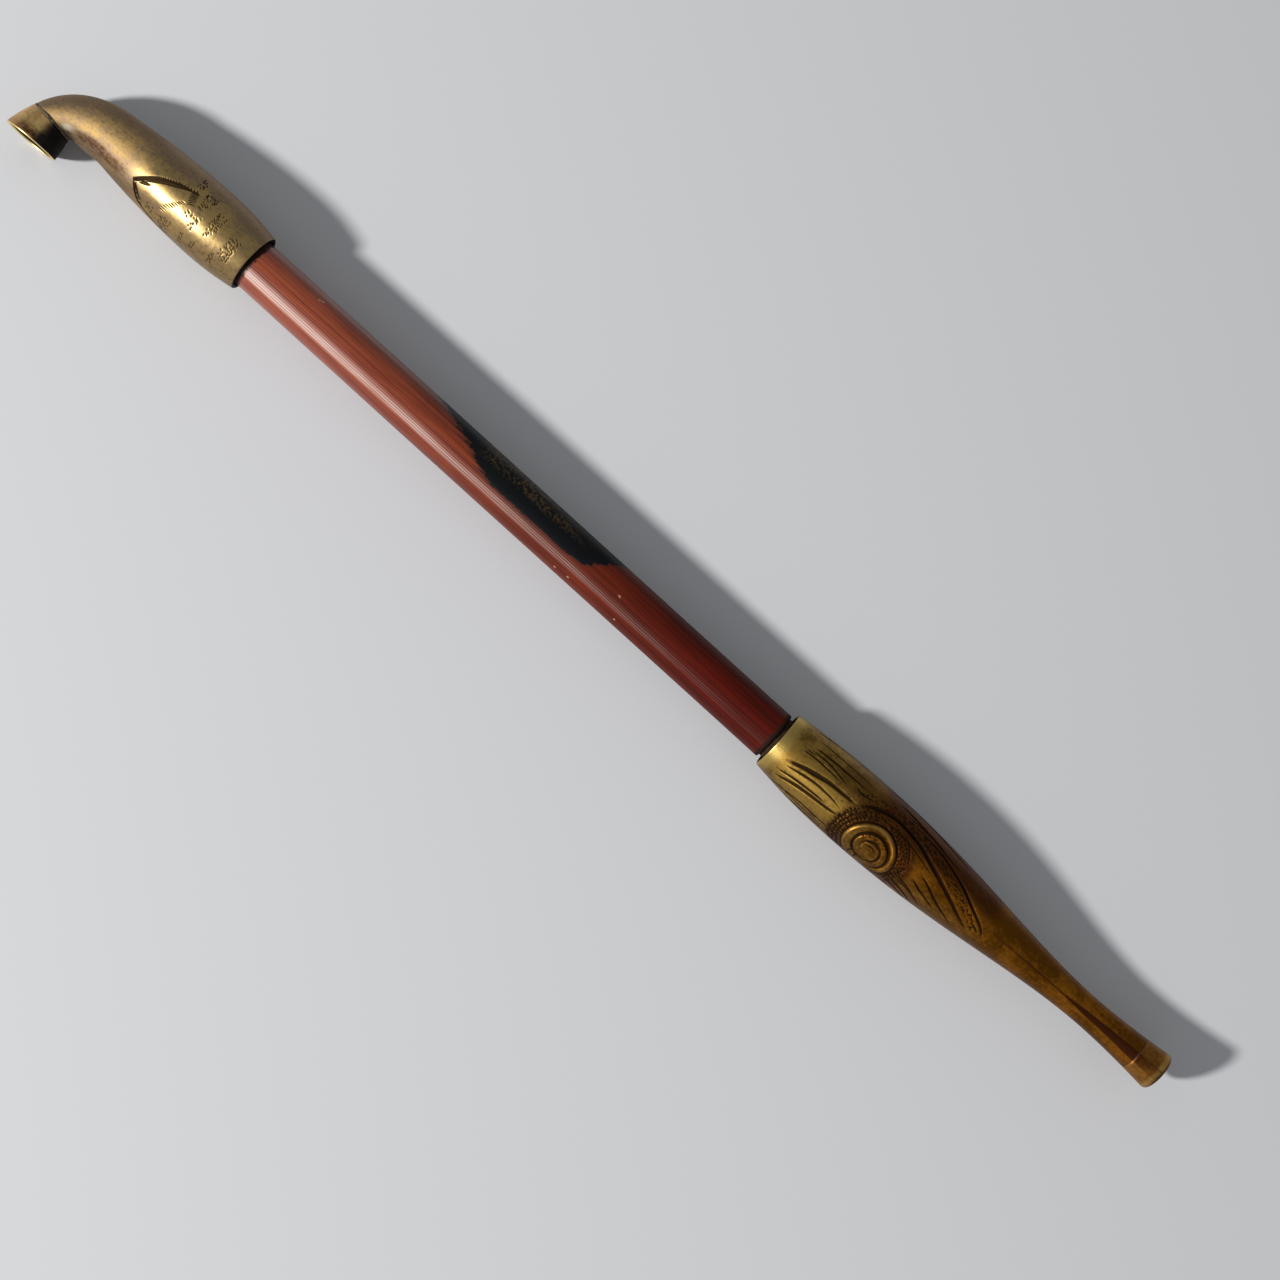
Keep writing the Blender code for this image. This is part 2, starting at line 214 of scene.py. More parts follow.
def wrapped(angle):
    """The same angle, between -180 and 180 degrees."""
    return (angle + 180) % 360 - 180


def mark(piece, **numbers):
    """Keeps numbers for each point under these names, which the finishes read."""
    for name, values in numbers.items():
        layer = piece.data.attributes.new(name, "FLOAT", "POINT")
        layer.data.foreach_set("value", np.asarray(values, np.float32))


def ease(values, low, high):
    """0 at low and 1 at high, which may be the smaller of the two, with a soft step between."""
    share = np.clip((np.asarray(values, float) - low) / (high - low), 0, 1)
    return share * share * (3 - 2 * share)


def settle(piece, node, body, finish):
    """Gives a piece its finish and its body, and lets it stand for its CAD node."""
    piece.data.materials.append(finish)
    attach(piece, body)
    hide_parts(node)
    piece.data.calc_loop_triangles()
    low, high = (np.array(corner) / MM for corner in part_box(node))
    now = read_points(piece)[0]
    print(piece.name, len(piece.data.loop_triangles), "triangles;",
          "low", np.round(now.min(0) - low, 2), "high", np.round(now.max(0) - high, 2), "mm from CAD")


print("turning helpers ready")

# %% [markdown]
# ## Chasing the brass
# The maker cut leaves, waves and a coiled roll into the brass with small chisels and a punch. The
# cuts could be a bump map, but they catch the light and break the outline, so they are real here:
# the turned surface has rings and steps a sixth of a millimetre apart, and each point sinks by the
# depth of the nearest cut. A cut is a smooth line through a few points of (distance, angle), and
# everything is cut twice, half a turn apart, so that the side on the table is finished too.

# %% Helpers that cut, raise and punch a turned surface
TURNS = (0, 180)


def smooth_line(points, per_span=8):
    """A Catmull-Rom curve through the points."""
    line = np.array(points, float)
    line = np.vstack([2 * line[0] - line[1], line, 2 * line[-1] - line[-2]])
    share = np.linspace(0, 1, per_span, endpoint=False)[:, None]
    spans = []
    for p, q, r, s in zip(line, line[1:], line[2:], line[3:]):
        bend, twist = 2 * p - 5 * q + 4 * r - s, 3 * q - p - 3 * r + s
        spans.append(0.5 * (2 * q + (r - p) * share + bend * share**2 + twist * share**3))
    return np.vstack(spans + [line[-2:-1]])


class Chasing:
    """The cuts and raised parts of a turned surface, for points at (along, angle)."""

    def __init__(self, along, angle, radius_at):
        self.along, self.angle, self.radius_at = along, angle, radius_at
        self.radii = radius_at(along)
        self.cut = np.zeros(len(along))
        self.lift = np.zeros(len(along))
        self.dirt = np.zeros(len(along))
        self.lines = 0

    def near(self, line, reach):
        """The points within reach of a line, how far off they are, and how far along it."""
        middle = line[:, 1].mean()
        side = np.radians(wrapped(self.angle - middle)) * self.radii
        line_side = np.radians(line[:, 1] - middle) * self.radius_at(line[:, 0])
        flat = np.column_stack([line[:, 0], line_side])
        low, high = flat.min(0) - reach, flat.max(0) + reach
        inside = (self.along > low[0]) & (self.along < high[0]) & (side > low[1]) & (side < high[1])
        chosen = np.flatnonzero(inside)
        spots = np.column_stack([self.along[chosen], side[chosen]])
        off, share = np.full(len(chosen), 1e9), np.zeros(len(chosen))
        for i, (start, end) in enumerate(zip(flat, flat[1:])):
            step = end - start
            part = np.clip((spots - start) @ step / (step @ step), 0, 1)
            away = np.linalg.norm(spots - start - part[:, None] * step, axis=1)
            closer = away < off
            off[closer], share[closer] = away[closer], (i + part[closer]) / (len(flat) - 1)
        return chosen, off, share

    def groove(self, points, width, depth, peak=0.4, raise_by=0.0):
        """A cut that is pointed at both ends, and widest at peak. It may raise what it follows."""
        for turn in TURNS:
            line = smooth_line(points) + np.array((0.0, turn))
            chosen, off, share = self.near(line, width)
            swell = np.where(share < peak, share / peak, (1 - share) / (1 - peak)) ** 0.55
            half = np.maximum(width / 2 * (0.35 + 0.65 * swell), 0.05)
            section = np.clip(1 - (off / half) ** 2, 0, 1) * swell
            if raise_by:
                self.lift[chosen] = np.maximum(self.lift[chosen], raise_by * section)
            else:
                self.cut[chosen] = np.maximum(self.cut[chosen], depth * section)
                filled = min(1.0, 0.62 + 3.0 * depth)
                held = np.clip(1.40 - off / half, 0, 1) * np.minimum(1, 1.8 * swell) * filled
                self.dirt[chosen] = np.maximum(self.dirt[chosen], held)
            self.lines += 1

    def roll(self, points, width, height):
        """A raised rounded cord of metal."""
        self.groove(points, width, 0.0, 0.5, raise_by=height)

    def punch(self, spots, radius, depth):
        """Round dents at (along, angle) places."""
        for turn in TURNS:
            for along, angle in spots:
                chosen = np.flatnonzero(np.abs(self.along - along) < radius)
                side = np.radians(wrapped(self.angle[chosen] - angle - turn)) * self.radii[chosen]
                off = np.hypot(self.along[chosen] - along, side)
                dent = np.clip(1 - (off / radius) ** 2, 0, 1)
                self.cut[chosen] = np.maximum(self.cut[chosen], depth * dent)
                self.dirt[chosen] = np.maximum(self.dirt[chosen], np.minimum(1, 1.4 * dent))


print("chasing tools ready")

# %% [markdown]
# ## Shader sums
# A finish is easier to read as a sum than as a drawing of nodes. This small class wraps a socket,
# so that plus, minus and times each add a Math node. One method makes any other node from its
# type, its settings and its sockets.

# %% The class that turns sums into nodes
class Wire:
    def __init__(self, tree, socket=None):
        self.tree, self.socket = tree, socket

    def node(self, kind, settings=None, sockets=None, out=0):
        made = self.tree.nodes.new(kind)
        for name, value in (settings or {}).items():
            setattr(made, name, value)
        for key, value in (sockets or {}).items():
            if isinstance(value, Wire):
                self.tree.links.new(value.socket, made.inputs[key])
            else:
                made.inputs[key].default_value = value
        return Wire(self.tree, made.outputs[out])

    def sum(self, operation, first, second):
        return self.node("ShaderNodeMath", {"operation": operation}, {0: first, 1: second})

    def __add__(self, other):
        return self.sum("ADD", self, other)

    def __sub__(self, other):
        return self.sum("SUBTRACT", self, other)

    def __rsub__(self, other):
        return self.sum("SUBTRACT", other, self)

    def __mul__(self, other):
        return self.sum("MULTIPLY", self, other)

    __radd__, __rmul__ = __add__, __mul__

    def most(self, other):
        return self.sum("MAXIMUM", self, other)

    def between(self, low, high):
        """0 below low and 1 above high, with a soft step from one to the other."""
        ends = {"Value": self, "From Min": low, "From Max": high, "To Min": 0.0, "To Max": 1.0}
        return self.node("ShaderNodeMapRange", {"interpolation_type": "SMOOTHSTEP"}, ends)

    def tint(self, first, second):
        """A colour that goes from first to second with this number."""
        first, second = ((*c, 1.0) if isinstance(c, tuple) else c for c in (first, second))
        return self.node("ShaderNodeMix", {"data_type": "RGBA"}, {0: self, 6: first, 7: second}, out=2)

    def stretched(self, *scales):
        return self.node("ShaderNodeVectorMath", {"operation": "MULTIPLY"}, {0: self, 1: scales})

    def noise(self, scale, detail=3.0, roughness=0.5):
        ends = {"Vector": self, "Scale": scale, "Detail": detail, "Roughness": roughness}
        return self.node("ShaderNodeTexNoise", None, ends)

    def kept(self, name):
        """A number that the mesh keeps for each point."""
        return self.node("ShaderNodeAttribute", {"attribute_name": name}, out="Fac")


def new_finish(name):
    """A material, its shader, the start of its sums and the place on the object."""
    finish = bpy.data.materials.new(name)
    finish.use_nodes = True
    start = Wire(finish.node_tree)
    place = start.node("ShaderNodeTexCoord", out="Object")
    return finish, finish.node_tree.nodes["Principled BSDF"], start, place


def feed(shader, **sockets):
    """Links sums to the shader's sockets, named with _ for a space."""
    for name, wire in sockets.items():
        wire.tree.links.new(wire.socket, shader.inputs[name.replace("_", " ")])


def relief(start, height, strength, depth):
    """A Bump node: fine relief that is too small for the mesh. Depth is in millimetres."""
    ends = {"Height": height, "Strength": strength, "Distance": depth * MM}
    return start.node("ShaderNodeBump", None, ends)


print("shader class ready")

# %% [markdown]
# ## Old brass
# Old brass turns olive and brown, stays bright where it is rubbed, and goes nearly black in its
# cuts. One function makes the finish for every brass piece, with its own bright and aged colours.
# The mesh keeps numbers for it: cut for the chasing, soot for burnt or tarry places and some
# painted shade, wear for bright edges and painted highlights, stain for the red-brown
# blush and other red-brown darkening, tone for how golden a side is, with painted
# highlight and shade along the sides, deep for the amber of the taper, and dull for a side without
# shine. Dark places stay metal, because bare dirt would look grey there.

# %% Mix the brass
CUT_BLACK = (0.020, 0.009, 0.004)
TAR = (0.006, 0.0045, 0.004)
BLUSH = (0.062, 0.017, 0.006)


def old_brass(name, bright, aged, rubbed, deep=None, gloss=0.33):
    finish, shader, start, place = new_finish(name)
    clouds = place.noise(170.0, 5.0, 0.6)
    grains = place.noise(1500.0, 3.0, 0.6)
    specks = place.noise(2300.0, 2.0, 0.5)
    scratches = place.stretched(0.12, 1.0, 1.0).noise(2600.0, 3.0, 0.6)
    cut = (start.kept("cut") + (specks - 0.5) * 0.3).between(0.2, 0.8)
    soot = (start.kept("soot") + (grains - 0.5) * 0.35).between(0.12, 0.92)
    # This number brightens rubbed edges, and also painted highlight bands.
    wear = start.kept("wear") * (0.55 + 0.9 * clouds)
    stain = (start.kept("stain") + (grains - 0.5) * 0.6 + (scratches - 0.5) * 0.6).between(0.2, 0.8)
    grime = specks.between(0.58, 0.72) * 0.5
    dark = cut.most(soot)
    # The side number makes sides more golden or darker, partly as painted highlight and painted shade.
    mixed = clouds + (grains - 0.5) * 0.6 + (scratches - 0.5) * 0.35
    mixed = (mixed + start.kept("tone") - 0.12 * start.kept("dull")).between(0.30, 0.72)
    colour = mixed.tint(aged, bright)
    if deep:
        colour = start.kept("deep").tint(colour, mixed.tint(tuple(c * 0.42 for c in deep), deep))
    colour = wear.between(0.2, 0.9).tint(colour, rubbed)
    colour = stain.tint(colour, BLUSH)
    colour = (grime * (1 - wear)).tint(colour, tuple(c * 0.35 for c in aged))
    colour = soot.tint((0.94 * cut).tint(colour, CUT_BLACK), TAR)
    rough = gloss + 0.12 * clouds + 0.12 * grains + 0.30 * dark
    feed(
        shader,
        Base_Color=colour,
        Metallic=1 - 0.25 * soot,
        Roughness=rough + 0.30 * start.kept("dull") - 0.06 * wear,
        Normal=relief(start, grains * 0.7 + scratches * 0.8 + clouds, 0.40, 0.05),
    )
    return finish


AMBER = (0.30, 0.102, 0.006)
# The mouthpiece's and collar's colours are darker than the head's, in part as painted shade for light that
# falls off towards the lips.
BRASSES = {
    "head_brass": ((0.46, 0.305, 0.115), (0.27, 0.185, 0.11), (0.70, 0.63, 0.48), None, 0.23),
    "cup_brass": ((0.74, 0.50, 0.20), (0.52, 0.29, 0.12), (0.92, 0.72, 0.32), None, 0.32),
    "mouthpiece_brass": ((0.34, 0.20, 0.042), (0.15, 0.078, 0.016), (0.50, 0.35, 0.10), AMBER),
    "collar_brass": ((0.42, 0.22, 0.06), (0.24, 0.105, 0.022), (0.55, 0.35, 0.11), AMBER),
}
brass = {name: old_brass(name, *looks) for name, looks in BRASSES.items()}
print("brass finishes", list(brass))

# %% [markdown]
# ## Mouthpiece
# The mouthpiece swells to a belly, tapers to a waist and opens again at the lips. Its outer curve
# is the CAD's own. Rings are close together over the chased half and wide apart over the plain
# taper.

# %% Turn the mouthpiece
SOCKET_RADIUS, SHELL_WALL = 4.95, 1.4
MOUTH_RIM, MOUTH_BELLY, BELLY_AT = 5.57, 6.72, 18.0
WAIST_RADIUS, WAIST_AT, TAPER_SKEW = 2.75, 71.4, 1.2
LIP_RADIUS, LIP_AT, LIP_FLARE, SMOKE_BORE = 3.65, 86.8, 1.8, 1.1
TIP_SET, SET_FROM, SET_LENGTH, SET_POWER = 1.55, 8.0, 79.6, 1.15
MOUTH_END = 81.95


def mouth_radius(distance):
    """Outer radius at a distance from the rim, as in the CAD."""
    distance = np.asarray(distance, float)
    swell = MOUTH_BELLY - (MOUTH_BELLY - MOUTH_RIM) * (1 - distance / BELLY_AT) ** 2
    share = np.clip((distance - BELLY_AT) / (WAIST_AT - BELLY_AT), 0, 1) ** TAPER_SKEW
    taper = MOUTH_BELLY - (MOUTH_BELLY - WAIST_RADIUS) * share * share * (3 - 2 * share)
    opening = np.clip((distance - WAIST_AT) / (LIP_AT - WAIST_AT), 0, 1) ** LIP_FLARE
    flare = WAIST_RADIUS + (LIP_RADIUS - WAIST_RADIUS) * opening
    return np.where(distance < BELLY_AT, swell, np.where(distance < WAIST_AT, taper, flare))


def sideways(distance):
    """How far the tip has bent to the far side."""
    return TIP_SET * np.clip((np.asarray(distance, float) - SET_FROM) / SET_LENGTH, 0, 1) ** SET_POWER


def profile(shape, distances, under=0.0):
    """Points at these distances on a shape's curve, or under it."""
    return [(d, float(shape(d)) - under) for d in distances]


socket_rim = rounding(0.15, SOCKET_RADIUS + 0.15, 0.15, 270, 190, 3)
outline = rounding(0.18, MOUTH_RIM - 0.16, 0.18, 180, 100)
outline += profile(mouth_radius, rows(0.3, 49.5, 0.205) + rows(50.4, MOUTH_END, 0.85))
outline += [(MOUTH_END, SMOKE_BORE)]
for distance, radius in profile(mouth_radius, rows(72.0, 20.0, 4.0), SHELL_WALL):
    outline.append((distance, max(SMOKE_BORE, min(SOCKET_RADIUS, radius))))
outline += [(d, SOCKET_RADIUS) for d in (12.0, 4.0, 1.0)] + socket_rim
mouthpiece = turned("mouthpiece_body", outline, 326)
mouth_points, mouth_along, mouth_round, mouth_angle = read_points(mouthpiece)
outer_skin = np.flatnonzero(mouth_round > mouth_radius(mouth_along) - 0.02)
print("rings", len(outline), "outer points", len(outer_skin))

# %% [markdown]
# ## Leaves, roll and waves
# Long leaves run back from the rim, a coiled roll sits on the near shoulder, and two deep waves
# sweep from it down to the taper. The roll is a raised cord with a spiral cut inside it, worked
# out from its centre with an angle and a shrinking radius.

# %% Cut the leaves
chasing = Chasing(mouth_along[outer_skin], mouth_angle[outer_skin], mouth_radius)
LEAVES = [
    ([(5.3, -19), (9.2, -21), (13.2, -20), (18.4, -20)], 0.52, 0.20),
    ([(4.9, -12), (8.7, -13), (11.2, -9), (14.4, -3)], 0.46, 0.17),
    ([(3.7, -2), (6.7, -5), (9.2, -4), (13.0, -2)], 0.46, 0.17),
    ([(4.4, -7), (5.6, -8.5), (6.8, -9)], 0.34, 0.10),
    ([(3.1, 29), (6.2, 19), (8.7, 14), (11.2, 10), (14.7, 9), (17.6, 8)], 1.05, 0.30),
    ([(3.6, 37), (6.2, 30), (9.2, 25), (12.7, 25), (16.0, 29)], 0.50, 0.18),
    ([(2.7, 54), (6.2, 44), (10.2, 39), (13.6, 38)], 0.52, 0.20),
    ([(3.1, 67), (6.2, 54), (9.2, 47), (13.7, 42), (16.2, 39)], 0.85, 0.26),
    ([(3.1, 88), (8.7, 73), (12.7, 70), (18.0, 69)], 0.54, 0.20),
    ([(4.1, 104), (8.7, 92), (14.0, 86), (18.5, 84)], 0.60, 0.22),
    ([(6.0, 80), (10.0, 78), (16.0, 77)], 0.36, 0.12),
    ([(5.0, -36), (9.5, -35), (14.0, -33), (18.5, -31)], 0.36, 0.10),
    ([(4.0, 124), (8.0, 118), (13.0, 112), (17.0, 110)], 0.52, 0.20),
]
for points, width, depth in LEAVES:
    chasing.groove(points, width, depth, peak=0.35)
print("leaf cuts", chasing.lines)

# %% Coil the roll
ROLL_AT, ROLL_ANGLE = 23.7, 50.0


def coil(first, last, radius_first, radius_last, count=30):
    """Points round the roll's centre, from one angle in degrees to another."""
    share = np.linspace(0, 1, count)
    turn = np.radians(first + (last - first) * share)
    radius = radius_first + (radius_last - radius_first) * share
    degrees = np.degrees(radius * np.sin(turn) / MOUTH_BELLY)
    return list(zip(ROLL_AT + radius * np.cos(turn), ROLL_ANGLE - degrees))


chasing.roll(coil(-80, 262, 4.55, 4.45), 1.20, 0.34)
chasing.groove(coil(-74, 254, 5.20, 5.10), 0.50, 0.24, peak=0.5)
chasing.groove(coil(-78, 610, 4.10, 1.30), 0.72, 0.36, peak=0.2)
chasing.roll(coil(30, 560, 3.05, 1.70), 0.70, 0.12)
for first, last, radius in ((114, 240, 6.0), (124, 232, 6.75), (136, 224, 7.5), (20, 66, 7.3)):
    chasing.groove(coil(first, last, radius, radius), 0.34, 0.13)
chasing.groove([(22.0, 41), (23.8, 34.5), (25.8, 39)], 0.75, 0.30)
chasing.groove([(22.7, 46), (23.9, 42.5), (25.2, 46)], 0.42, 0.16)
chasing.groove([(22.0, 66), (21.6, 74), (21.4, 84)], 0.44, 0.18)
chasing.groove([(23.1, 68), (22.9, 78), (22.9, 88)], 0.44, 0.18)
print("cuts so far", chasing.lines)

# %% Sweep the waves
DEEP_WAVE = [
    (17.8, 6), (19.0, -3), (21.0, -11), (24.5, -17), (29.5, -12),
    (33.0, -1), (36.5, 11), (40.0, 25), (43.5, 42), (46.6, 57),
]
FAR_WAVE = [(29.5, -30), (33.5, -26), (36.5, -19), (40.0, -9), (43.5, 8), (47.0, 28), (48.6, 48)]
WAVES = [
    (DEEP_WAVE, 1.10, 0.38),
    (FAR_WAVE, 0.72, 0.30, 0.6),
    ([(22.8, -45), (26.0, -43), (31.5, -36), (35.5, -29), (39.2, -25)], 0.50, 0.20, 0.3),
    ([(26.0, -31), (31.5, -27), (36.0, -20)], 0.36, 0.13, 0.5),
    ([(20.2, 4), (24.0, -3), (28.0, -1), (32.0, 7), (35.5, 16)], 0.34, 0.10, 0.5),
    ([(33.4, 24), (35.5, 31), (38.0, 43), (41.0, 56), (43.2, 68)], 0.52, 0.21, 0.3),
    ([(32.8, 38), (34.5, 45), (37.5, 55), (38.9, 61)], 0.50, 0.20, 0.3),
    ([(29.2, 62), (32.8, 72), (36.0, 90)], 0.50, 0.20),
    ([(30.6, 56), (34.0, 62), (37.0, 77)], 0.46, 0.18),
    ([(29.2, 72), (32.5, 82), (35.0, 100)], 0.46, 0.18),
    ([(28.4, 84), (31.0, 96), (33.0, 112)], 0.46, 0.16),
    ([(25.2, -36), (28.0, -36), (31.0, -33)], 0.34, 0.10),
    ([(15.0, -12), (17.0, -10), (19.2, -14)], 0.50, 0.18),
    ([(30.2, 50), (32.2, 54), (34.5, 60)], 0.40, 0.15),
    ([(45.4, 31), (46.6, 38), (47.4, 45)], 0.40, 0.16),
    ([(37.0, 96), (40.0, 106), (44.0, 118)], 0.50, 0.18),
    ([(20.0, 118), (26.0, 112), (33.0, 122), (40.0, 134)], 0.60, 0.22),
]
for wave in WAVES:
    chasing.groove(*wave)
print("cuts so far", chasing.lines)

# %% Punch the dots
dice = random.Random(7)


def scatter(line, spread, gap):
    """Places strewn along a line, up to spread degrees to either side of it."""
    path = smooth_line(line, 16)
    run = np.concatenate([[0], np.cumsum(np.hypot(np.diff(path[:, 0]), np.diff(path[:, 1]) * 0.115))])
    count = int(run[-1] / gap)
    stops = [run[-1] * (i + dice.random()) / count for i in range(count)]
    return [
        (np.interp(s, run, path[:, 0]), np.interp(s, run, path[:, 1]) + dice.uniform(-spread, spread))
        for s in stops
    ]


def jitter(spots, shift):
    return [(d + dice.uniform(-shift, shift), a + dice.uniform(-shift, shift) * 8.5) for d, a in spots]


for first, last, radii, density in ((112, 240, (5.6, 6.35, 7.1, 7.8), 3.4), (-28, 84, (5.6, 6.2, 6.8), 2.8)):
    for radius in radii:
        arc = coil(first, last, radius, radius, round(radius * density))
        chasing.punch(jitter(arc, 0.16), 0.25, 0.12)
BETWEEN_WAVES = [(24.5, -25), (28.5, -22), (32.0, -15), (36.0, -6), (40.0, 7), (43.5, 22), (46.2, 39)]
DOTTED = [
    (BETWEEN_WAVES, 7.5, 0.16, 0.20, 0.10),
    ([(16.0, -8), (18.0, -14), (20.5, -20), (24.0, -25), (28.0, -26)], 7.0, 0.30, 0.20, 0.10),
    ([(20.6, 41), (22.0, 32), (24.8, 27), (26.8, 34)], 2.0, 0.55, 0.20, 0.06),
    ([(30.6, 30), (30.2, 44), (29.4, 58), (28.2, 72)], 3.5, 0.24, 0.24, 0.12),
    ([(19.0, 8), (21.5, 2), (24.5, 2), (28.5, 10)], 5.0, 0.30, 0.24, 0.08),
]
for line, spread, gap, radius, depth in DOTTED:
    chasing.punch(scatter(line, spread, gap), radius, depth)
print("deepest cut", round(chasing.cut.max(), 2), "mm, highest roll", round(chasing.lift.max(), 2), "mm")

# %% [markdown]
# ## Where the mouthpiece is bright and stained
# The ring behind the rim and the tops of the leaves are bright. A golden ridge along the top and
# the near side is partly a painted highlight. The waves hold a dark brown, and the far upper side
# of the chased half, a ring round the roll and the lower near side are darker. A seam runs down
# the taper, and a red-brown stain widens from it towards the lips. Each is a number for every
# point, from its distance and angle.

# %% Mark and place the mouthpiece
along, angle = mouth_along, mouth_angle
skin_cut, skin_lift, skin_dirt = (np.zeros(len(along)) for _ in range(3))
skin_cut[outer_skin], skin_lift[outer_skin], skin_dirt[outer_skin] = chasing.cut, chasing.lift, chasing.dirt
inner = mouth_round < mouth_radius(along) - 0.4


def stained_taper(along, angle):
    """The seam from the waves to the lips, and the stain that widens from it."""
    middle = np.interp(along, [45, 66, 72, 82, 88], [19, 22, 21, 20, 18])
    half = np.interp(along, [46, 48, 66, 70, 75, 82, 88], [0.5, 2.0, 3.0, 8.0, 12.0, 17.0, 18.0])
    strength = np.interp(along, [46, 50, 64, 70, 80, 83, 87], [0, 0.6, 0.7, 1.0, 1.0, 0.62, 0.40])
    return ease(half - np.abs(wrapped(angle - middle)), -7.0, 4.0) * strength


# The ridge lifts a golden band along the top and near side, partly a painted highlight; the lower near side
# is made darker.
lower = ease(angle, 70, 100)
ridge = ease(angle, -18, 12) * ease(angle, 80, 50)
wear = 0.75 * ease(along, 4.0, 0.6) * (1 - 0.5 * lower) + 1.5 * skin_lift + 0.8 * ease(along, 0.5, 0.15)
tone = 0.22 * ease(along, 20, 12) * ridge + 0.12 * ridge - 0.12
tone = tone + 0.14 * ease(along, 18, 10) * (1 - ridge) - 0.20 * lower * ease(along, 30, 20)
# This darkens the far upper side of the chased half and a ring round the roll with the red-brown.
dusk = 0.62 * ease(along, 15, 22) * ease(along, 52, 46) * ease(angle, 34, -16)
around_roll = np.hypot(along - ROLL_AT, np.radians(angle - ROLL_ANGLE) * MOUTH_BELLY)
dusk = np.maximum(dusk, 0.60 * ease(around_roll, 10.0, 7.5) * ease(around_roll, 4.4, 5.2))
mark(
    mouthpiece,
    cut=skin_dirt,
    wear=np.where(inner, 0, wear),
    tone=tone,
    deep=0.92 * ease(along, 13, 27) * (1 - 0.35 * ease(angle, 30, 62) * ease(along, 52, 44)),
    soot=np.where(inner & (along > -1), 1.0, 0.0),
    stain=np.maximum(stained_taper(along, angle), dusk),
)
points = mouth_points
points[:, 1], points[:, 2] = around(mouth_round - skin_cut + skin_lift, angle)
points[:, 1] += np.where(inner, np.clip((along - 19.2) / 19.2, 0, 1), 1) * sideways(along)
move_points(mouthpiece, points, mouth_axis)
settle(mouthpiece, "mouthpiece", "mouthpiece", brass["mouthpiece_brass"])

# %% [markdown]
# ## Lip collar
# The last few millimetres are a separate collar with a rounded lip, soldered on. It is turned
# with a real round edge.

# %% Turn the lip collar
COLLAR_AT, COLLAR_END, LIP_ROUND = 82.12, 87.6, 0.8
outline = [(COLLAR_AT, SMOKE_BORE), (COLLAR_AT, float(mouth_radius(COLLAR_AT)) - 0.06)]
outline += profile(mouth_radius, rows(COLLAR_AT + 0.08, LIP_AT, 0.3))
outline += rounding(LIP_AT, LIP_RADIUS - LIP_ROUND, LIP_ROUND, 78, 0, 7)
outline += [(COLLAR_END, r) for r in (2.4, 1.9, 1.5)]
outline += rounding(COLLAR_END - 0.3, SMOKE_BORE + 0.3, 0.3, 0, -90, 4)[1:]
outline += [(86.0, SMOKE_BORE), (84.0, SMOKE_BORE)]
collar = turned("collar_ring", outline, 160)
points, along, radius, angle = read_points(collar)
smoke_hole = (radius < 1.45) | ((along > 87.45) & (radius < 2.2))
mark(
    collar,
    stain=stained_taper(along, angle),
    soot=np.where(smoke_hole, 1.0, 0.75 * ease(along, 87.0, 87.5)),
    wear=0.6 * ease(along, 85.2, 86.6) * ease(along, 87.25, 86.9),
    deep=np.full(len(along), 0.55),
    tone=0.1 * ease(angle, 20, 60),
)
points[:, 1] += sideways(along)
move_points(collar, points, mouth_axis)
settle(collar, "lip_collar", "mouthpiece", brass["collar_brass"])

# %% [markdown]
# ## Head
# The head is a socket that swells, narrows to a neck and turns up to the cup. It is turned as one
# straight tube, so that the same chasing tools work on it, and then bent: points past the straight
# part are carried onto the CAD's neck curve, ring by ring.

# %% Turn the head
HEAD_RIM, HEAD_BELLY, HEAD_BELLY_AT, HEAD_STRAIGHT = 5.57, 6.53, 10.3, 31.0
NECK_START, NECK_END_RADIUS, NECK_SPAN = 5.15, 3.95, 13.4
NECK_BORE, NECK_BORE_OPENS = 2.2, 0.85
NECK_TOP = np.array((-42.2, -5.0, 0.0))
CUP_LEAN = math.radians(5.7)


def head_radius(distance):
    """Outer radius of the straight part and of the neck after it."""
    distance = np.asarray(distance, float)
    rise = HEAD_BELLY - (HEAD_BELLY - HEAD_RIM) * (1 - distance / HEAD_BELLY_AT) ** 2
    past_belly = (distance - HEAD_BELLY_AT) / (HEAD_STRAIGHT - HEAD_BELLY_AT)
    fall = HEAD_BELLY - (HEAD_BELLY - NECK_START) * past_belly**2
    share = np.clip((distance - HEAD_STRAIGHT) / NECK_SPAN, 0, 1)
    neck = NECK_END_RADIUS + (NECK_START - NECK_END_RADIUS) * (1 - share)
    return np.where(distance < HEAD_BELLY_AT, rise, np.where(distance < HEAD_STRAIGHT, fall, neck))


def neck_bore(distance):
    share = max(0.0, 2 * (distance - HEAD_STRAIGHT) / NECK_SPAN - 1)
    return NECK_BORE + NECK_BORE_OPENS * share**2


neck_end = HEAD_STRAIGHT + NECK_SPAN
outline = rounding(0.16, HEAD_RIM - 0.14, 0.16, 180, 100)
outline += profile(head_radius, rows(0.3, 26.0, 0.125) + rows(26.5, neck_end - 0.1, 0.5))
outline += [(neck_end, NECK_END_RADIUS - 0.05), (neck_end, 3.6)]
outline += profile(neck_bore, rows(neck_end, 26.0, 1.2))
outline += [(25.1, 2.25), (21.1, SOCKET_RADIUS - 0.1)]
outline += [(d, SOCKET_RADIUS) for d in (20.9, 12.0, 4.0, 1.0)] + socket_rim
head = turned("head_body", outline, 340)
_, head_along, head_round, head_angle = read_points(head)
head_angle = head_angle + math.degrees(HEAD_DIP)
head_skin = np.flatnonzero(head_round > head_radius(head_along) - 0.02)
print("rings", len(outline), "outer points", len(head_skin))

# %% [markdown]
# ## A hill and its trees
# The head's picture is lighter work: one peak with a serrated slope, a few straight strokes and
# clusters of small chisel marks. The serration is a row of very short cuts across the slope's
# line. The clusters are strewn with a seeded random number, so that they come out the same.

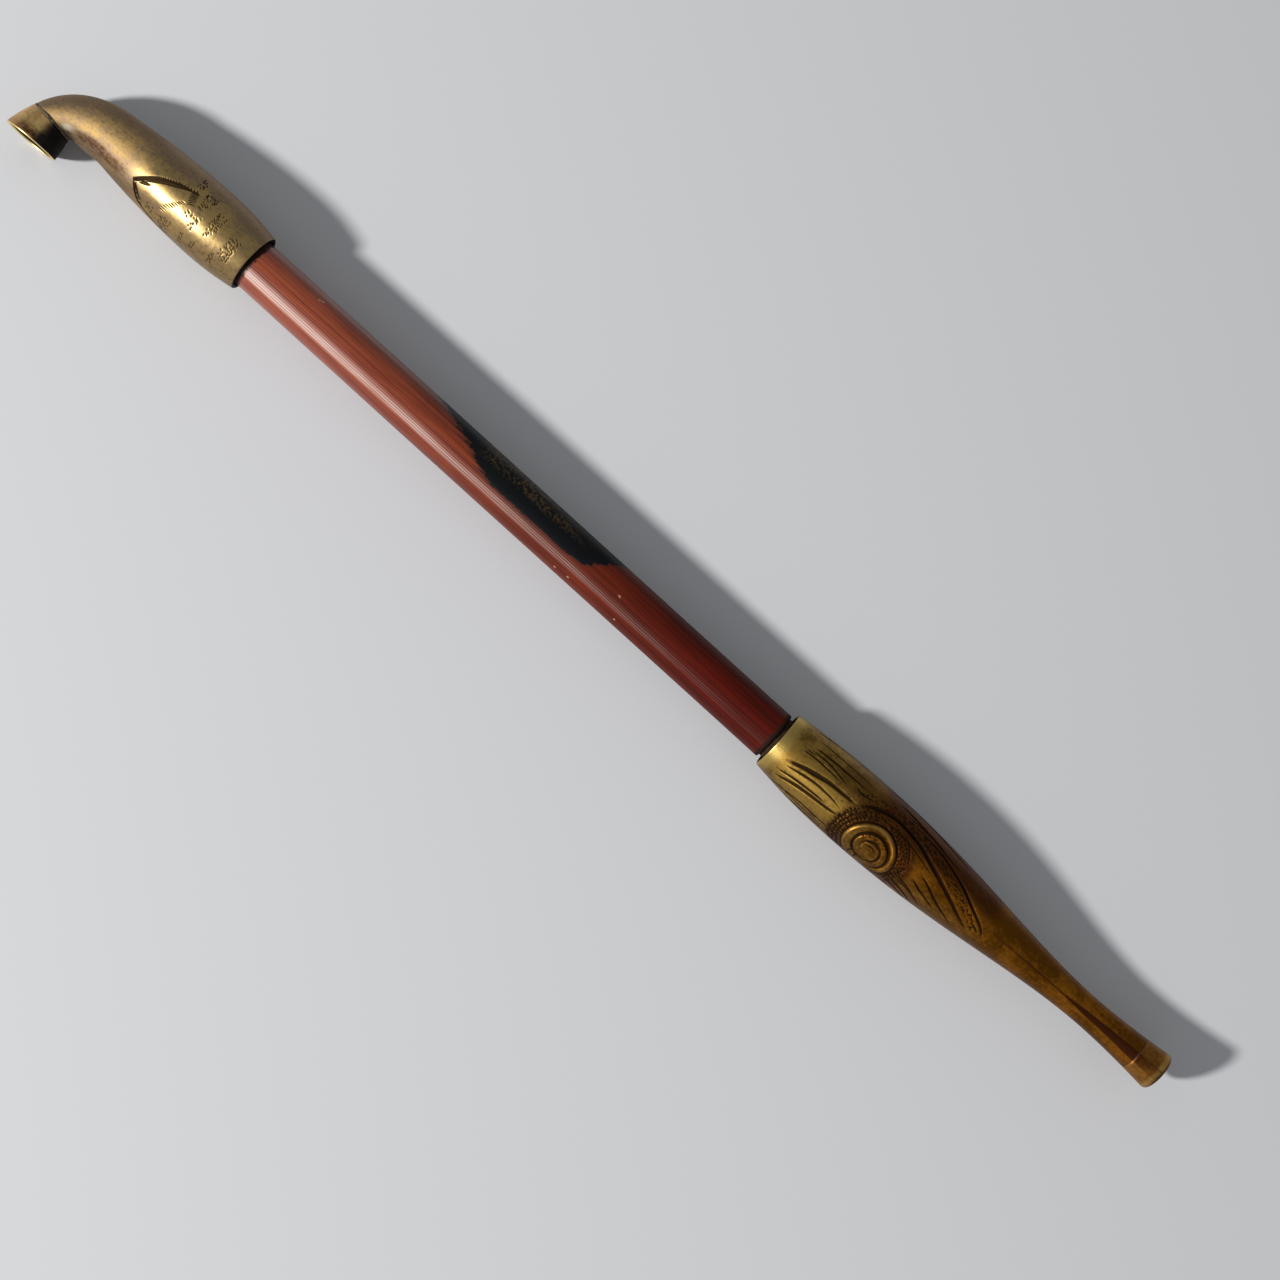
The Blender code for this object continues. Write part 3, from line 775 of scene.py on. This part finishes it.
# %% Cut the hill
carving = Chasing(head_along[head_skin], head_angle[head_skin], head_radius)
SLOPE = [(24.0, 45), (22.9, 33), (21.5, 21), (19.9, 10), (17.3, -1), (14.1, -9)]
INNER_SLOPE = [(22.3, 37), (21.2, 27), (19.5, 16), (17.4, 6), (15.3, -3), (13.2, -9)]
carving.groove(SLOPE, 0.36, 0.13, 0.5)
carving.groove(INNER_SLOPE, 0.48, 0.16, 0.6)
carving.groove([(22.7, 38), (21.6, 34), (20.5, 31)], 0.46, 0.16, 0.3)
carving.groove([(22.9, 42), (21.8, 38), (20.7, 33)], 0.34, 0.12, 0.3)
FOOT_OF_HILL = [(24.0, 44), (23.2, 54), (22.3, 66), (21.2, 76), (18.9, 84), (15.7, 93), (9.8, 97)]
carving.groove(FOOT_OF_HILL, 0.62, 0.18, 0.3)
carving.groove([(23.4, 46), (22.6, 54), (21.6, 63), (20.4, 72)], 0.52, 0.14, 0.3)
for at, turn in ((23.3, 50), (22.8, 56), (22.2, 62), (21.6, 68), (20.8, 74)):
    carving.groove([(at + 0.6, turn - 1), (at, turn), (at - 0.5, turn + 1)], 0.28, 0.12)
outer_line, inner_line = smooth_line(SLOPE, 6), smooth_line(INNER_SLOPE, 6)
for (d1, a1), (d2, a2) in zip(outer_line, inner_line):
    carving.groove([(d1 + 0.1, a1 - 3.5), (d1 - 0.3, a1 + 0.5), (d2 + 0.2, a2)], 0.31, 0.14, 0.4)
print("hill cuts", carving.lines)

# %% Cut the straight strokes and the fans
STROKES = [
    (17.4, 15.7, 50), (17.3, 15.7, 46), (17.2, 15.6, 42), (16.9, 15.4, 38), (16.6, 15.0, 34),
    (16.3, 14.8, 30), (15.9, 14.5, 26.5), (15.6, 14.3, 23), (15.3, 14.1, 20), (15.0, 14.0, 17),
]
for start, end, angle in STROKES:
    carving.groove([(start, angle), ((start + end) / 2, angle - 0.6), (end, angle - 0.4)], 0.30, 0.07)
for i in range(8):
    low, start = -9 + 2.6 * i, 14.9 - 0.13 * i
    carving.groove([(start, low + 6), (start - 0.8, low + 1), (start - 1.7, low - 1)], 0.30, 0.08)
CLUSTERS = [
    (13.8, 14.9, -38, -18, 0.50), (10.4, 12.4, -22, -8, 0.50), (12.3, 13.2, -18, -12, 0.50),
    (11.1, 12.1, -4, 9, 0.50), (7.1, 8.8, -7, 14, 0.45), (12.0, 13.1, 20, 29, 0.55),
    (10.4, 11.7, 18, 31, 0.50), (10.8, 11.6, 32, 43, 0.55), (6.9, 8.8, 15, 26, 0.55),
    (7.7, 8.4, 26, 35, 0.55), (2.7, 4.5, 4, 47, 0.46), (14.3, 16.9, 57, 86, 0.60),
    (11.3, 12.1, 57, 76, 0.60), (8.9, 9.8, 55, 76, 0.60), (5.0, 5.9, 46, 68, 0.55),
    (18.4, 19.6, 60, 74, 0.60),
]


def ticks(low, high, first, last, gap):
    """Short slanting chisel marks, a little unevenly spaced over a patch."""
    turn_gap = math.degrees(gap / HEAD_BELLY)
    for row, at in enumerate(np.arange(low, high, gap * 0.9)):
        for turn in np.arange(first + (row % 2) * turn_gap / 2, last, turn_gap):
            if dice.random() < 0.82:
                spot, spin = at + dice.uniform(-0.12, 0.12), turn + dice.uniform(-1.2, 1.2)
                run, lean = dice.uniform(0.14, 0.24), dice.uniform(1.2, 2.4)
                mark_line = [(spot + run, spin - lean), (spot, spin), (spot - run, spin + lean)]
                carving.groove(mark_line, 0.34, 0.07)


for patch in CLUSTERS:
    ticks(*patch)
print("cuts in all", carving.lines, "deepest", round(carving.cut.max(), 2), "mm")

# %% [markdown]
# ## Bending the neck
# A cubic curve runs from the straight part to the seat of the cup, with its handles as in the
# CAD. Each ring is set square to the curve, and turns little by little to face the cup. A brighter
# band along the near side is a painted highlight, a golden band along the top is partly one, and
# the far upper side is darker as painted shade. The lower near side is more red-brown, and by the
# seam the heat of the cup has left a red streak and a grey patch.

# %% Bend, mark and place the head
FIRST_HANDLE, SECOND_HANDLE, ARRIVAL = 7.0, 2.0, math.radians(40.0)
START = np.array((-HEAD_STRAIGHT, 0.0, 0.0))
CUP_WAY = np.array((-math.sin(CUP_LEAN), -math.cos(CUP_LEAN), 0.0))
FIRST = START + np.array((-FIRST_HANDLE, 0.0, 0.0))
SECOND = NECK_TOP + SECOND_HANDLE * np.array((math.sin(ARRIVAL), math.cos(ARRIVAL), 0.0))


def bent(distance, radius, angle):
    """Points of the tube at these distances, radii and angles, carried onto the neck's curve."""
    share = np.clip((distance - HEAD_STRAIGHT) / NECK_SPAN, 0, 1)[:, None]
    rest = 1 - share
    centre = (
        rest**3 * START + 3 * rest**2 * share * FIRST + 3 * rest * share**2 * SECOND + share**3 * NECK_TOP
    )
    way = rest**2 * (FIRST - START) + 2 * rest * share * (SECOND - FIRST) + share**2 * (NECK_TOP - SECOND)
    way /= np.linalg.norm(way, axis=1)[:, None]
    way += share**2 * (CUP_WAY - way)
    way /= np.linalg.norm(way, axis=1)[:, None]
    straight = distance < HEAD_STRAIGHT
    centre[straight] = np.column_stack([-distance, 0 * distance, 0 * distance])[straight]
    side = np.cross(way, (0.0, 0.0, 1.0))
    turn = np.radians(angle)[:, None]
    return centre + radius[:, None] * (np.cos(turn) * np.array((0.0, 0.0, 1.0)) - np.sin(turn) * side)


along, angle = head_along, wrapped(head_angle)
skin_cut, skin_dirt = np.zeros(len(along)), np.zeros(len(along))
skin_cut[head_skin], skin_dirt[head_skin] = carving.cut, carving.dirt
inner = head_round < head_radius(along) - 0.35
# The socket's end face is blackened with the soot number: painted shade, with some dark oxide.
face = (along < 0.12) & (head_round < HEAD_RIM - 0.05)
# The brighter band along the near side, fed to the wear number, is a painted highlight.
near_side_highlight = ease(angle, 5, 22) * ease(angle, 60, 40)
by_seam = ease(along, 36.0, 40.5) * ease(along, 44.0, 41.5)
by_seam = by_seam * ease(angle, 22, 42) * ease(angle, 68, 48)
scorch = 0.62 * ease(along, 37.5, 41.5) * ease(angle, 46, 60) * ease(angle, 160, 110)
seam_dirt = 0.7 * ease(along, neck_end - 1.0, neck_end - 0.2) * ease(angle, -30, 10)
streak = 0.55 * ease(along, 22, 28) * ease(along, 41, 36)
streak = streak * ease(angle, 34, 46) * ease(angle, 78, 56)
# The far upper side is darker as painted shade; the golden band along the top is partly a painted highlight.
upper, golden = ease(angle, -8, -40), ease(angle, -22, 2) * ease(angle, 44, 28)
mark(
    head,
    cut=skin_dirt,
    dull=ease(along, 20, 27) + 0.5 * ease(angle, 0, -30) * ease(along, 27, 20),
    wear=np.where(inner, 0, 0.26 * near_side_highlight * ease(along, 26, 12) + 0.65 * by_seam),
    tone=0.16 * golden - 0.16 * upper,
    soot=np.where(inner | face, 1.0, np.maximum(scorch, seam_dirt)),
    stain=np.maximum(streak, 0.27 * ease(angle, 36, 60) + 0.10),
)
move_points(head, bent(along, head_round - skin_cut, head_angle - math.degrees(HEAD_DIP)), head_axis)
settle(head, "head", "head", brass["head_brass"])

# %% [markdown]
# ## Fire cup
# The cup is thin brass with a flared wall and a round bottom with one hole. Its rim is rubbed
# bright and its inside is burnt black. The side that faces the stem is darkened, partly by heat
# and partly as painted shade, and a painted highlight runs up the lower wall on the side away from
# the stem.

# %% Turn the cup
CUP_SEAT, CUP_HEIGHT, CUP_RIM, CUP_WALL, CUP_FLARE = 0.9, 5.25, 5.05, 0.55, 1.6
CUP_FOOT, CUP_BASE, RIM_SLANT = 0.42, NECK_END_RADIUS + 0.3, math.tan(math.radians(8.8))
CUP_EDGE = CUP_HEIGHT - 0.14
CUP_FLOOR = [
    (1.75, 3.6), (1.35, 2.9), (0.95, 2.1), (0.72, 1.6), (0.62, 1.2), (0.5, 1.1),
    (0.1, 1.1), (0.0, 1.2), (0.0, 1.7), (0.12, 2.1), (0.3, 2.6),
]
cup_turn = Matrix.Rotation(-math.pi / 2 - CUP_LEAN, 4, "Z")
cup_axis = head_axis @ Matrix.Translation(Vector(NECK_TOP) * MM) @ cup_turn


def up_the_wall(height):
    return np.clip((height - CUP_SEAT) / (CUP_HEIGHT - CUP_SEAT), 0, 1)


def cup_radius(height):
    return CUP_BASE + (CUP_RIM - CUP_BASE) * (1 - (1 - up_the_wall(height)) ** CUP_FLARE)


outline = [(CUP_FOOT, 3.4), (CUP_FOOT, CUP_BASE - 0.17), (CUP_FOOT + 0.12, CUP_BASE - 0.05)]
outline += profile(cup_radius, rows(0.75, CUP_EDGE, 0.16))
outline += rounding(CUP_EDGE, CUP_RIM - 0.16, 0.14, 60, 0)
outline += rounding(CUP_EDGE, CUP_RIM - 0.4, 0.14, 0, -80)
outline += profile(cup_radius, rows(4.9, 2.0, 0.3), CUP_WALL) + CUP_FLOOR
cup = turned("cup_bowl", outline, 144)
points, height, radius, angle = read_points(cup)
burnt_inside = (radius < cup_radius(height) - CUP_WALL + 0.12) & (height < CUP_HEIGHT - 0.12)
wobble = 0.03 * np.sin(np.radians(3 * angle + 40)) + 0.02 * np.sin(np.radians(7 * angle))
points[:, 1:] *= (1 + (wobble * ease(height, 2, 5) / radius))[:, None]
facing_stem = points[:, 1] / radius
# The side that faces the stem is darkened with the soot number: partly heat, partly painted shade.
heat_soot_and_shade = 0.90 * ease(facing_stem, -0.15, 0.55) * ease(height, 5.22, 4.95)
# A pale stripe low on the side away from the stem, fed to the wear number, is a painted highlight.
side_highlight = 0.4 * ease(np.abs(facing_stem + 0.45), 0.3, 0.05) * ease(height, 3.4, 1.5)
blush = 0.66 * ease(height, 1.6, 4.4) * ease(facing_stem, -0.9, -0.1) * ease(height, 5.2, 4.9)
mark(
    cup,
    soot=np.where(burnt_inside | (height < 0.35), 1.0, heat_soot_and_shade),
    wear=1.1 * ease(height, CUP_HEIGHT - 0.22, CUP_HEIGHT - 0.06) + side_highlight,
    tone=0.1 - 0.25 * ease(height, 2.6, 4.8),
    stain=blush,
)
points[:, 0] -= RIM_SLANT * points[:, 1] * up_the_wall(height)
move_points(cup, points, cup_axis)
print("cup faces the stem at", round(float(facing_stem.max()), 2))
settle(cup, "fire_cup", "head", brass["cup_brass"])

# %% [markdown]
# ## Solder and flux
# Two thin rings of solder show as dark lines: one under the cup, one where the collar starts. They
# are beads, a little lumpy under the cup and filed flush at the collar.

# %% Mix the solder
def old_solder(name, pale, dirt):
    finish, shader, start, place = new_finish(name)
    lumps = place.noise(900.0, 4.0, 0.6)
    dust = place.noise(3200.0, 2.0, 0.6)
    colour = (lumps + 0.4 * (dust - 0.5)).between(0.40, 0.66).tint(dirt, pale)
    feed(
        shader,
        Base_Color=colour,
        Metallic=0.25 + 0.55 * lumps.between(0.45, 0.7),
        Roughness=0.5 + 0.35 * dust,
        Normal=relief(start, lumps + dust * 0.4, 0.6, 0.08),
    )
    return finish


cup_lead = old_solder("cup_lead", (0.17, 0.13, 0.08), (0.02, 0.015, 0.012))
collar_lead = old_solder("collar_lead", (0.12, 0.06, 0.03), (0.025, 0.012, 0.008))
print("solder finishes", cup_lead.name, collar_lead.name)

# %% Turn the two beads
def bead(name, low, high, inner, outer, steps, lumpy):
    """A ring with a bulging outside, whose bulge varies round it."""
    middle, half = (low + high) / 2, (high - low) / 2
    outline = [(high, inner), (low, inner), (low, outer - 0.08)]
    for turn in np.linspace(0.2, math.pi - 0.2, 9):
        outline.append((middle - half * math.cos(turn), outer - 0.08 + 0.12 * math.sin(turn)))
    outline += [(high, outer - 0.08)]
    piece = turned(name, outline, steps)
    points, along, radius, angle = read_points(piece)
    lump = sum(math.sin(k) * np.sin(np.radians(k * angle + 57 * k)) for k in (2, 3, 5, 8, 13, 21)) / 3
    factor = 1 + lumpy * lump * (radius > outer - 0.1) / radius
    points[:, 1:] *= factor[:, None]
    return piece, points


cup_bead, points = bead("cup_bead", -0.02, 0.46, 3.1, NECK_END_RADIUS + 0.09, 144, 0.06)
move_points(cup_bead, points, cup_axis)
settle(cup_bead, "cup_solder", "head", cup_lead)
collar_edge = float(mouth_radius(82.0)) - 0.07
collar_bead, points = bead("collar_bead", 81.93, 82.15, 1.5, collar_edge, 144, 0.015)
points[:, 1] += sideways(points[:, 0])
move_points(collar_bead, points, mouth_axis)
settle(collar_bead, "collar_solder", "mouthpiece", collar_lead)

# %% [markdown]
# ## Dyed bamboo
# The tube is ribbed bamboo, dyed red-brown and rubbed with lacquer, paler by the head and darker
# by the mouthpiece. A burnt, glossy black patch covers the far upper side. The colour follows
# Object coordinates along X, and streaks are noise that is stretched the same way. The tenons are
# shaved to bare wood. The pale band along the near side is painted into the colour: it stands in
# for the lamp's shine on the lacquer, so it stays where it is when the light moves.

# %% Mix the bamboo
BARE = (0.50, 0.32, 0.16)
CHAR = (0.0035, 0.004, 0.005)
CHIPS = [(-67.8, -26), (4.5, 15), (-4.3, 66), (6.4, 66), (-7.2, 69), (-67.2, -30)]
bamboo, shader, start, place = new_finish("dyed_bamboo")
streaks = place.stretched(0.035, 1.0, 1.0).noise(1900.0, 4.0, 0.65)
bands = place.stretched(0.35, 1.0, 1.0).noise(160.0, 4.0, 0.6)
grit = place.noise(1700.0, 3.0, 0.6)
across = start.node("ShaderNodeSeparateXYZ", None, {0: place}, out=0)
darker = across.between(-0.085, 0.035)
valley = start.kept("valley")
burnt = (start.kept("burn") + 0.9 * (grit - 0.5) + 1.6 * (streaks - 0.5)).between(0.42, 0.60)
scorched = (start.kept("burn") + 1.2 * (streaks - 0.5)).between(0.08, 0.55)
shaved = start.kept("shaved").between(0.4, 0.6)
colour = darker.tint((0.33, 0.066, 0.022), (0.100, 0.0060, 0.0016))
vein = (streaks + bands * 0.6).between(0.62, 0.98)
colour = (0.8 * vein).tint(colour, darker.tint((0.16, 0.024, 0.009), (0.038, 0.0035, 0.0012)))
colour = (0.92 * valley).tint(colour, darker.tint((0.09, 0.012, 0.005), (0.020, 0.0022, 0.0010)))
paled = start.kept("pale_band") * (0.15 + 1.7 * streaks) * (1 - 0.6 * valley)
colour = paled.between(0.05, 1.0).tint(colour, (0.66, 0.44, 0.37))
colour = (0.75 * scorched).tint(colour, (0.045, 0.016, 0.010))
mottle = start.kept("mottle") * (grit + 0.8 * (bands - 0.5)).between(0.44, 0.66)
colour = burnt.tint(colour, (0.8 * mottle).tint(CHAR, (0.095, 0.058, 0.020)))
chipped = None
for x, turn in CHIPS:
    side, height = around(4.6, turn)
    spot = (x * MM, axis_start.y + side * MM, axis_start.z + height * MM)
    away = start.node("ShaderNodeVectorMath", {"operation": "DISTANCE"}, {0: place, 1: spot}, out="Value")
    chip = (away + (grit - 0.5) * 0.0012).between(0.00028, 0.00012)
    chipped = chip if chipped is None else chipped.most(chip)
colour = (0.7 * chipped).tint(colour, (0.50, 0.30, 0.20))
# The tar number darkens the tube by both brass rims; by the head's rim this is partly a painted shadow of
# the rim.
tar = (start.kept("tar") + 0.7 * (grit - 0.5)).between(0.35, 0.65)
bare_wood = (streaks + 0.5 * bands).between(0.55, 1.0).tint(BARE, (0.24, 0.13, 0.055))
colour = shaved.tint(colour, bare_wood)
colour = (0.95 * tar).tint(colour, (0.016, 0.008, 0.006))
feed(
    shader,
    Base_Color=colour,
    Roughness=0.28 + 0.12 * bands + 0.10 * grit + 0.35 * shaved.most(tar) + 0.06 * darker,
    Coat_Weight=(1 - shaved.most(tar)) * (1 - darker) * (1 - darker) * (1 - 0.75 * burnt),
    Normal=relief(start, streaks + 0.25 * grit, 0.30, 0.04),
)
shader.inputs["Coat Roughness"].default_value = 0.26
shader.inputs["Specular IOR Level"].default_value = 0.10
print("bamboo nodes", len(bamboo.node_tree.nodes))

# %% [markdown]
# ## Ribbed stem
# Fine ribs run the whole length, under half a millimetre apart. They are in the mesh: five
# steps to a rib, with each rib's depth a little different. The burnt patch is kept as a ramp, so
# that the finish can break up its edge with noise.

# %% Turn the stem
RIBS, STEPS_TO_A_RIB, RIB_HEIGHT = 66, 5, 0.014
STEM_RADIUS, TENON_RADIUS, STEM_BORE = 4.6, 4.05, 1.9
HEAD_SHOULDER, MOUTH_SHOULDER = -HEAD_INSET, 121.4
HEAD_TIP, MOUTH_TIP = HEAD_SHOULDER - TENON_LENGTH, MOUTH_SHOULDER + TENON_LENGTH


def tenon(shoulder, tip):
    """One end of the tube's outline, from the bore out to the bare middle."""
    way = math.copysign(1.0, shoulder - tip)
    end = [(tip, STEM_BORE + 0.15), (tip, 3.0), (tip, 3.5), (tip + 0.6 * way, TENON_RADIUS)]
    end += [(x, TENON_RADIUS) for x in rows(tip + 1.5 * way, shoulder, 1.5)]
    return end + [(shoulder, STEM_RADIUS - 0.12), (shoulder + 0.12 * way, STEM_RADIUS)]


outline = tenon(HEAD_SHOULDER, HEAD_TIP)
outline += [(x, STEM_RADIUS) for x in rows(HEAD_SHOULDER + 0.5, MOUTH_SHOULDER - 0.5, 1.0)]
outline += tenon(MOUTH_SHOULDER, MOUTH_TIP)[::-1]
outline += [(x, STEM_BORE) for x in rows(MOUTH_TIP - 0.2, HEAD_TIP + 0.2, 16.0)]
stem = turned("stem_tube", outline, RIBS * STEPS_TO_A_RIB)
points, along, radius, angle = read_points(stem)
body = (along > HEAD_SHOULDER - 0.01) & (along < MOUTH_SHOULDER + 0.01) & (radius > TENON_RADIUS + 0.3)
rib_depths = np.array([dice.uniform(0.25, 1.0) for _ in range(RIBS)])
rib = np.floor((angle + 180) / 360 * RIBS).astype(int) % RIBS
wave = np.sin(np.radians(angle + 180) * RIBS)
print("rings", len(outline), "ribs", RIBS, "pitch", round(math.tau * STEM_RADIUS / RIBS, 2), "mm")

# %% Rib, mark and place the stem
x_world = along + axis_start.x / MM
BURN_X = [-46, -40, -36, -32, -28, -25, -8, -4, -1, 3]
BURN_EDGE = [-95, -55, -30, -12, 14, 23, 25, 17, -14, -80]
fade = np.interp(x_world, [-48, -30, -26, -6, 0], [26, 18, 9, 8, 14])
burn = np.clip(0.5 + (np.interp(x_world, BURN_X, BURN_EDGE) - angle) / (2 * fade), 0, 1)
burn = burn * np.clip((angle + 128) / 24, 0, 1)
burn *= np.interp(x_world, [-52, -40, 0, 9], [0, 1, 1, 0])
band_strength = np.interp(x_world, [-80, -60, -30, 0, 40], [0.95, 0.85, 0.55, 0.34, 0.16])
mottle = ease(angle, -4, -22) * ease(x_world, -32, -27) * ease(x_world, -2, -16)
# The dark band just outside the head's rim is partly tar and partly a painted shadow of the rim; by the
# mouthpiece's rim it is tar.
HEAD_TAR_AND_SHADOW, MOUTH_TAR = 0.0, 121.9
tar = ease(np.abs(along - HEAD_TAR_AND_SHADOW), 1.25, 0.55), ease(np.abs(along - MOUTH_TAR), 1.3, 0.8)
mark(
    stem,
    burn=np.where(body, burn, 0),
    pale_band=np.where(body, ease(angle, 19, 38) * ease(angle, 58, 40) * band_strength, 0),
    mottle=np.where(body, mottle, 0),
    valley=np.where(body, np.clip(0.5 - 0.5 * wave, 0, 1) * rib_depths[rib], 0),
    shaved=np.where(body, 0.0, 1.0),
    tar=np.maximum(*tar),
)
swell = 0.05 * np.sin(along / 23.0) + 0.03 * np.sin(np.radians(2 * angle) + along / 40.0)
ribbed = np.where(body, RIB_HEIGHT * wave * rib_depths[rib] - RIB_HEIGHT + swell, 0)
shaving = 0.05 * np.sin(np.radians(11 * angle) + 0.35 * along) - 0.05
facets = np.where(~body & (radius > 3.9), shaving, 0)
points[:, 1], points[:, 2] = around(radius + ribbed + facets, angle)
move_points(stem, points, pipe_axis)
settle(stem, "bamboo_stem", "stem", bamboo)

# %% [markdown]
# ## Paper rolls
# Paper wound on each tenon makes the joint tight. It shows when an end is pulled off, and only a
# ragged dark edge shows otherwise. Each roll is a sleeve whose radius climbs once round to an
# overlap step, with torn ends and crushed ridges.

# %% Mix the paper
def old_paper(name, clean, tar):
    finish, shader, start, place = new_finish(name)
    patches = place.noise(260.0, 5.0, 0.65)
    fibres = place.stretched(1.0, 0.3, 0.3).noise(2600.0, 3.0, 0.7)
    colour = (patches + 0.25 * (fibres - 0.5)).between(0.38, 0.62).tint(clean, tar)
    sooty = (start.kept("soot") + 0.5 * (patches - 0.5)).between(0.4, 0.75)
    colour = sooty.tint(colour, (0.03, 0.018, 0.010))
    rough = 0.82 + 0.14 * fibres
    feed(shader, Base_Color=colour, Roughness=rough, Normal=relief(start, fibres + patches, 0.8, 0.1))
    return finish


head_paper = old_paper("head_paper", (0.46, 0.34, 0.20), (0.20, 0.11, 0.05))
mouthpiece_paper = old_paper("mouthpiece_paper", (0.40, 0.29, 0.17), (0.15, 0.08, 0.035))
print("paper finishes", head_paper.name, mouthpiece_paper.name)

# %% Roll the paper
WRAP_INSET, WRAP_LENGTH = 1.2, 15.0


def paper_roll(name, low, seam, seed):
    """A sleeve from low along the stem, whose overlap ends at the angle seam."""
    high = low + WRAP_LENGTH
    inner, outer = TENON_RADIUS + 0.06, SOCKET_RADIUS - 0.24
    outline = [(x, outer) for x in rows(low, high, 0.35)] + [(high, outer - 0.25), (high, inner)]
    outline += [(low, inner), (low, outer - 0.25)]
    piece = turned(name, outline, 180)
    points, along, radius, angle = read_points(piece)
    climb = ((angle - seam) % 360) / 360
    phases = np.array([math.sin(seed * k * 1.7) * 6 for k in range(1, 9)])
    torn = sum(np.sin(np.radians(k * k * angle) + phases[k - 1]) / k for k in range(1, 9)) * 0.16
    at_end = ease(np.abs(along - (low + high) / 2), (high - low) / 2 - 1.6, (high - low) / 2)
    turning = (np.sin(along * (1.1 * k) + np.radians(k * angle) + phases[k - 1]) for k in range(1, 6))
    crushed = sum(turning) * 0.012
    radius = np.where(radius > outer - 0.3, radius - 0.02 + 0.15 * climb + crushed, radius)
    points[:, 0] += torn * at_end * np.where(along > (low + high) / 2, -1, 1)
    points[:, 1], points[:, 2] = around(radius, angle)
    mark(piece, soot=at_end * 0.8)
    move_points(piece, points, pipe_axis)
    return piece


head_roll = paper_roll("head_roll", HEAD_SHOULDER - WRAP_INSET - WRAP_LENGTH, 70.0, 3)
settle(head_roll, "head_wrap", "head_seal", head_paper)
mouthpiece_roll = paper_roll("mouthpiece_roll", MOUTH_SHOULDER + WRAP_INSET, -40.0, 5)
settle(mouthpiece_roll, "mouthpiece_wrap", "mouthpiece_seal", mouthpiece_paper)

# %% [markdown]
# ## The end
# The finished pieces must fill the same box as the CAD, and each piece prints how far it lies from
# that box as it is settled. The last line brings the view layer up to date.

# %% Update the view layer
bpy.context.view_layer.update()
